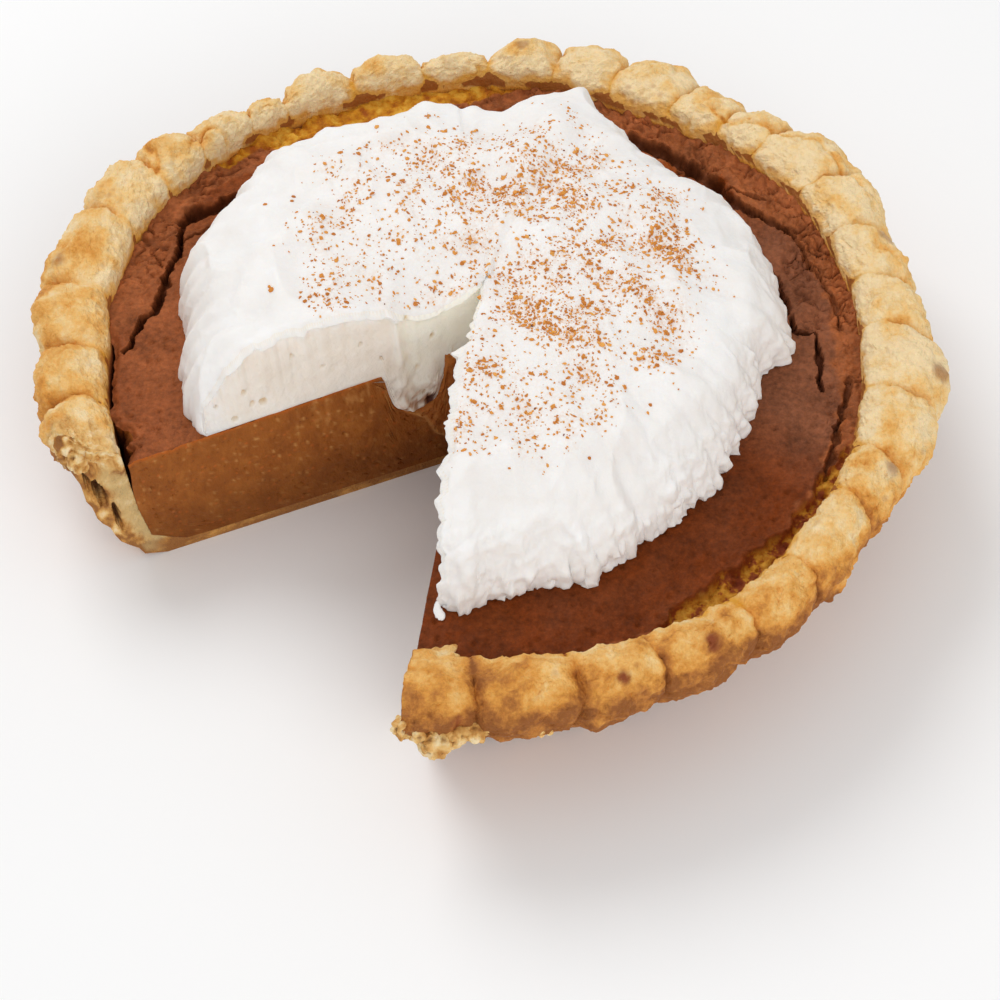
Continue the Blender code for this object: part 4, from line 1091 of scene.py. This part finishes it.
def cluster_centres():
    """Places across the cream where cinnamon has fallen more thickly."""
    spots = np.random.default_rng(SPECK_SEED)
    centres = []
    while len(centres) < CLUSTERS:
        x, y = spots.uniform(-SPECK_FIELD, SPECK_FIELD, 2)
        az, thick = dusted(x, y)
        if az < PIE_END - 1 and thick > spots.uniform(0, 1):
            centres.append((x, y))
    return np.array(centres)


def dusted(x, y):
    """Azimuth of a place seen from the tip, and how thickly cinnamon lies there."""
    az = pie_angle(math.degrees(math.atan2(y, x)) % TURN)
    return az, dusting(np.array([x + TIP_X, y + TIP_Y, 70.0]))


def dusting(points):
    """How thickly cinnamon lies at each point of the cream's top, from 0 to 1."""
    az = np.mod(np.degrees(np.arctan2(points[..., 1] - TIP_Y, points[..., 0] - TIP_X)), TURN)
    share = plan_radius(points) / around(CREAM_REACH, az)
    reach = around(DUST_REACH, az)
    patchy = np.clip(0.8 + 0.55 * layers(points * (1, 1, 0), 15.0, 151), 0.15, 1.2)
    return fall(share, reach - 0.22, reach + 0.04) * patchy * around(DUST_AMOUNT, az + 40 * (1 - share))


def powder(points):
    """How much fine cinnamon powder lies round the clusters, from 0 to 1."""
    near = sum(np.exp(-((points[..., 0] - TIP_X - x) ** 2 + (points[..., 1] - TIP_Y - y) ** 2) / 5.0)
               for x, y in cluster_centres())
    return np.clip(0.55 * near, 0, 1)


def cinnamon_grains(surface):
    """Every grain of cinnamon as one mesh each for the large flakes, two finer kinds and the dark grains."""
    draw = random.Random(SPECK_SEED)
    kinds = {"large": []}
    for _ in range(SPECKS):
        az = draw.uniform(CREAM_FAR_CUT + 2, PIE_END - 3)
        share = SPECK_SPREAD * math.sqrt(draw.uniform(0.012, 1.0))
        size, slender, turn = draw.uniform(*SPECK_SIZE), draw.uniform(0.55, 0.95), draw.uniform(0, TURN)
        jitter = [draw.uniform(0.85, 1.15) for _ in range(GRAIN_CORNERS)]
        kinds["large"].append((az, share * around(CREAM_REACH, az), size, slender, turn, jitter))
    spots = np.random.default_rng(SPECK_SEED + 1)
    centres = cluster_centres()
    for kind, count, (least, most) in GRAINS:
        kinds[kind] = []
        while len(kinds[kind]) < count:
            x, y = spots.uniform(-SPECK_FIELD, SPECK_FIELD, 2)
            if spots.uniform() < 0.6:
                x, y = centres[spots.integers(len(centres))] + spots.normal(0, CLUSTER_SPREAD, 2)
            az, thick = dusted(x, y)
            radius = math.hypot(x, y)
            near = min(az - CREAM_FAR_CUT, PIE_END - az) * math.radians(radius)
            if near < 0.8 or thick < spots.uniform(0.05, 1.1):
                continue
            size = least + (most - least) * spots.uniform() ** 2
            kinds[kind].append((az, radius, size, spots.uniform(0.35, 0.9), spots.uniform(0, TURN),
                                spots.uniform(0.55, 1.45, GRAIN_CORNERS)))
    return {kind: grain_mesh(grains, surface) for kind, grains in kinds.items()}


def grain_mesh(grains, surface):
    """Points and triangles of the grains, each laid on the surface under its place."""
    corners, faces = ball_of(1)
    points = []
    for az, radius, size, slender, turn, jitter in grains:
        spot, normal, _, _ = surface.ray_cast(Vector(placed(az, radius, 100.0)), Vector((0, 0, -1)))
        if spot is None:
            continue
        shaped = corners * np.array(jitter)[:, None] * (size, size * slender, min(2 * SPECK_HEIGHT, size * 0.7))
        lie = normal.to_track_quat("Z", "Y").to_matrix() @ Matrix.Rotation(math.radians(turn), 3, "Z")
        points.append(shaped @ np.array(lie).T + np.array(spot))
    triangles = faces + GRAIN_CORNERS * np.arange(len(points))[:, None, None]
    return np.concatenate(points), triangles.reshape(-1, 3)


def make_cinnamon(cream, material, dark_material):
    graph = bpy.context.evaluated_depsgraph_get()
    mesh = cream.evaluated_get(graph).to_mesh()
    surface = BVHTree.FromPolygons([v.co / MM for v in mesh.vertices], [p.vertices for p in mesh.polygons])
    pieces = []
    for kind, (points, triangles) in cinnamon_grains(surface).items():
        shades = np.random.default_rng(len(points)).uniform(0, 1, len(points) // GRAIN_CORNERS)
        shape = Shape()
        shape.add(points, triangles, 0, shade=np.repeat(shades, GRAIN_CORNERS))
        pieces.append(shape.make("cinnamon_" + kind, [dark_material if kind == "dark" else material], 25.0))
    return pieces


class Surface:
    """A material and its Principled shader. A name given as a value stands for the mesh's attribute of that name."""

    def __init__(self, name, roughness, specular=0.5):
        self.material = bpy.data.materials.new(name)
        self.material.use_nodes = True
        self.tree = self.material.node_tree
        self.shader = self.tree.nodes["Principled BSDF"]
        self.fill(self.shader, {"Roughness": roughness, "Specular IOR Level": specular})

    def node(self, kind, **settings):
        node = self.tree.nodes.new("ShaderNode" + kind)
        for key, value in settings.items():
            setattr(node, key, value)
        return node

    def fill(self, node, values):
        for key, value in values.items():
            if isinstance(value, str):
                value = self.node("Attribute", attribute_name=value).outputs["Fac"]
            if isinstance(value, bpy.types.NodeSocket):
                self.tree.links.new(value, node.inputs[key])
            elif isinstance(value, tuple) and node.inputs[key].type == "RGBA":
                node.inputs[key].default_value = (*value, 1.0)
            else:
                node.inputs[key].default_value = value

    def noise(self, scale, detail, roughness, shift=0.0, stretch=(1, 1, 1)):
        """A noise texture in metres of the piece's own space, its scale in bumps per metre."""
        mapping = self.node("Mapping")
        self.fill(mapping, {"Vector": self.node("TexCoord").outputs["Object"], "Scale": stretch,
                            "Location": (shift, shift, shift)})
        noise = self.node("TexNoise")
        self.fill(noise, {"Vector": mapping.outputs["Vector"], "Scale": scale, "Detail": detail,
                          "Roughness": roughness})
        return noise.outputs["Fac"]

    def flecks(self, scale, *stops):
        """Spots round many scattered points, 1 in their middle, with more (distance, share) stops outwards."""
        cells = self.node("TexVoronoi")
        self.fill(cells, {"Vector": self.node("TexCoord").outputs["Object"], "Scale": scale})
        return self.ramp(cells.outputs["Distance"], ((0.0, 1.0), *stops))

    def ramp(self, factor, stops):
        """A colour ramp through (position, colour) stops; a single number stands for a grey."""
        node = self.node("ValToRGB")
        elements = node.color_ramp.elements
        while len(elements) < len(stops):
            elements.new(0.5)
        for element, (position, color) in zip(elements, stops):
            element.position = position
            element.color = (*color, 1.0) if isinstance(color, tuple) else (color, color, color, 1.0)
        self.fill(node, {"Fac": factor})
        return node.outputs["Color"]

    def math(self, operation, *values):
        node = self.node("Math", operation=operation)
        self.fill(node, dict(enumerate(values)))
        return node.outputs["Value"]

    def times(self, first, second):
        return self.math("MULTIPLY", first, second)

    def plus(self, first, second):
        return self.math("ADD", first, second)

    def mix(self, share, first, second, blend="MIX"):
        node = self.node("Mix", data_type="RGBA", blend_type=blend)
        self.fill(node, {0: share, 6: first, 7: second})
        return node.outputs[2]

    def layered(self, color, layers):
        """A colour with others laid over it, each as (share, colour)."""
        for share, over in layers:
            color = self.mix(share, color, over)
        return color

    def finish(self, color, subsurface, bump=None):
        """Sets colour, subsurface weight, radius and scale, and bump height, strength and distance."""
        weight, radius, scale = subsurface
        self.fill(self.shader, {"Base Color": color, "Subsurface Weight": weight, "Subsurface Radius": radius,
                                "Subsurface Scale": scale})
        if bump:
            height, strength, distance = bump
            node = self.node("Bump")
            self.fill(node, {"Height": height, "Strength": strength, "Distance": distance})
            self.fill(self.shader, {"Normal": node.outputs["Normal"]})
        return self.material


def pastry_material(name, torn):
    pastry = Surface(name, 0.62, 0.25)
    mottle = pastry.noise(150.0, 4.0, 0.6)
    browning = pastry.plus("browning", pastry.math("MULTIPLY_ADD", mottle, 1.0, -0.5))
    fine = pastry.math("MULTIPLY_ADD", pastry.noise(700.0, 3.0, 0.65, 3.0), 0.5, -0.25)
    color = pastry.ramp(pastry.plus(browning, fine), TORN_COLORS if torn else PASTRY_COLORS)
    if torn:
        # Hollows and pits are painted dark, as shade in them.
        color = pastry.layered(color, (("layer", LAYER_COLOR), ("deep", RECESS_SHADE_COLOR)))
    else:
        glaze = pastry.plus("glaze", pastry.math("MULTIPLY_ADD", mottle, 0.8, -0.4))
        glaze = pastry.times(pastry.ramp(glaze, ((0.35, 0.0), (0.62, 1.0))), 0.85)
        rare = pastry.ramp(pastry.noise(75.0, 2.0, 0.5, 7.0), ((0.54, 0.0), (0.66, 1.0)))
        freckle = pastry.times(pastry.flecks(250.0, (0.16, 0.55), (0.3, 0.0)), rare)
        crumb = pastry.ramp(pastry.noise(300.0, 4.0, 0.65, 8.0), TORN_CRUMB_COLORS)
        color = pastry.layered(color, (
            (pastry.times("stain", 0.8), STAIN_COLOR), (glaze, GLAZE_COLOR),
            (pastry.times(freckle, 0.5), FRECKLE_COLOR), ("spots", BURNT_AND_GAP_SHADE_COLOR), ("torn", crumb)))
    height = pastry.plus(pastry.noise(380.0, 4.0, 0.65, 1.0), pastry.times(pastry.noise(1500.0, 2.0, 0.6), 0.4))
    return pastry.finish(color, (0.1, (1.0, 0.5, 0.22), 0.0015), (height, 0.85, 0.0014))


def custard_top_material():
    custard = Surface("custard_top", 0.45, 0.06)
    mottle = custard.plus(custard.times(custard.noise(70.0, 5.0, 0.65), 0.5),
                          custard.times(custard.noise(620.0, 3.0, 0.7, 6.0), 0.5))
    # The base colour is the custard's, paler and hazier with painted sheen; the front's colour is painted shade and the
    # right's painted sheen.
    color = custard.layered(CUSTARD_LEFT_WITH_SHEEN, (("back", CUSTARD_BACK), ("front", CUSTARD_FRONT_SHADED), ("right", CUSTARD_RIGHT_SHEEN),
                                           ("band", CUSTARD_BAND)))
    color = custard.mix(1.0, color, custard.ramp(mottle, CUSTARD_MOTTLE), "MULTIPLY")
    speckle = custard.times(custard.flecks(520.0, (0.2, 0.0)), 0.3)
    # Cracks and splits are painted near black as shade in them; the speckle paints dark specks.
    color = custard.layered(color, (
        (custard.times("crack", 0.85), DARK_SHADE_AND_SPECK_COLOR), (speckle, DARK_SHADE_AND_SPECK_COLOR),
        ("groove", custard.ramp(custard.noise(240.0, 4.0, 0.65, 4.0), GROOVE_COLORS)),
        ("stained", custard.ramp(custard.noise(230.0, 4.0, 0.6, 9.0), CUSTARD_STAIN_COLORS))))
    return custard.finish(color, (0.08, (1.0, 0.35, 0.1), 0.002), (custard.noise(450.0, 5.0, 0.65), 0.7, 0.0009))


def custard_cut_material():
    custard = Surface("custard_cut", 0.65, 0.15)
    streaks = custard.noise(260.0, 3.0, 0.65, 2.0, (1.0, 1.0, 0.3))
    shade = custard.plus(custard.times(custard.noise(120.0, 5.0, 0.65), 0.65), custard.times(streaks, 0.35))
    fleck = custard.flecks(330.0, (0.24, 0.0))
    speckle = custard.flecks(420.0, (0.22, 0.0))
    color = custard.layered(custard.ramp(shade, CUSTARD_CUT_COLORS), (
        ("edge", CUSTARD_EDGE_COLOR), ("lump", CUSTARD_LUMP_COLOR), (custard.times(fleck, 0.6), CUSTARD_FLECK_COLOR),
        (custard.times("pale", 0.9), CUSTARD_PALE)))
    color = custard.mix("low", color, CUSTARD_LOW_SHADE, "MULTIPLY")
    # The speckle paints dark specks; the gap's side wall is painted dark as shade.
    color = custard.layered(color, ((custard.times(speckle, 0.45), DARK_SHADE_AND_SPECK_COLOR), ("deep", DARK_SHADE_AND_SPECK_COLOR)))
    bump = custard.noise(600.0, 4.0, 0.65, 0.0, (1.0, 1.0, 0.6))
    return custard.finish(color, (0.1, (1.0, 0.3, 0.08), 0.002), (bump, 0.7, 0.0009))


def cream_material(name, cut):
    cream = Surface(name, 0.55, 0.25)
    mottle = cream.noise(90.0, 4.0, 0.6)
    if cut:
        color = cream.layered(cream.ramp(mottle, CREAM_CUT_COLORS), (
            ("white", CREAM_LIP_COLOR), ("tip", CREAM_TIP_PAINTED_LIGHT), ("stain", CREAM_PORE_COLOR),
            ("smear", CREAM_SMEAR_COLOR), ("pocket", DARK_SHADE_AND_SPECK_COLOR)))
    else:
        grain = cream.ramp(cream.noise(900.0, 3.0, 0.7, 5.0), ((0.42, 0.0), (0.72, 1.0)))
        color = cream.mix(cream.times(cream.times("dust", 0.75), grain), cream.ramp(mottle, CREAM_COLORS), DUST_COLOR)
    return cream.finish(color, (0.5 if cut else 0.25, (1.0, 0.85, 0.7), 0.006 if cut else 0.0025),
                        (cream.noise(600.0, 4.0, 0.6), 0.45 if cut else 0.3, 0.0007))


def cinnamon_material(name, stops):
    cinnamon = Surface(name, 0.85)
    return cinnamon.finish(cinnamon.ramp("shade", stops), (0.2, (1.0, 0.5, 0.2), 0.0008))


def floor_material():
    floor = Surface("studio_floor", 0.9, 0.1)
    floor.fill(floor.shader, {"Base Color": FLOOR_COLOR})
    return floor.material


def add_camera():
    aim = Vector((*CAMERA_AIM, 0.0)) * MM
    lift, roll = math.radians(CAMERA_ELEVATION), math.radians(CAMERA_ROLL)
    place = aim + Vector((0.0, -math.cos(lift), math.sin(lift))) * CAMERA_DISTANCE * MM
    forward = (aim - place).normalized()
    right = forward.cross(Vector((0, 0, 1))).normalized()
    up = right.cross(forward)
    turned_right = math.cos(roll) * right + math.sin(roll) * up
    turned_up = math.cos(roll) * up - math.sin(roll) * right
    data = bpy.data.cameras.new("camera")
    data.sensor_width = SENSOR_WIDTH
    data.lens = CAMERA_LENS
    data.clip_start = 0.01
    camera = bpy.data.objects.new("camera", data)
    camera.matrix_world = Matrix((turned_right, turned_up, -forward)).transposed().to_4x4()
    camera.location = place
    bpy.context.scene.camera = linked(camera)


def add_studio():
    for name, place, size, power in LIGHTS:
        data = bpy.data.lights.new(name, "AREA")
        data.shape = "DISK"
        data.size = size
        data.energy = power
        light = linked(bpy.data.objects.new(name, data))
        light.location = place
        light.rotation_euler = (Vector(LIGHT_AIM) - Vector(place)).to_track_quat("-Z", "Y").to_euler()
    world = bpy.data.worlds.new("studio")
    world.use_nodes = True
    background = world.node_tree.nodes["Background"]
    background.inputs["Color"].default_value = (1.0, 1.0, 1.0, 1.0)
    background.inputs["Strength"].default_value = WORLD_LIGHT
    bpy.context.scene.world = world
    bpy.context.scene.view_settings.view_transform = "Standard"
    side = FLOOR_SIDE / 2
    mesh = bpy.data.meshes.new("floor")
    mesh.from_pydata([(-side, -side, 0), (side, -side, 0), (side, side, 0), (-side, side, 0)], [], [(0, 1, 2, 3)])
    mesh.materials.append(floor_material())
    floor = linked(bpy.data.objects.new("floor", mesh))


def main():
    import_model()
    crust = make_crust([pastry_material("pastry_skin", False), pastry_material("pastry_torn", True)])
    filling = make_filling([custard_top_material(), custard_cut_material()])
    cream = make_cream([cream_material("cream_top", False), cream_material("cream_cut", True)])
    for piece, node, slot in ((crust, "crust", "baked_pastry"), (filling, "filling", "pumpkin_custard"),
                              (cream, "cream", "whipped_cream")):
        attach(piece, "root")
        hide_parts(node)
    grains = make_cinnamon(cream, cinnamon_material("cinnamon", CINNAMON_COLORS),
                           cinnamon_material("cinnamon_dark", DARK_GRAIN_COLORS))
    for piece in grains:
        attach(piece, "root")
    add_camera()
    add_studio()


main()
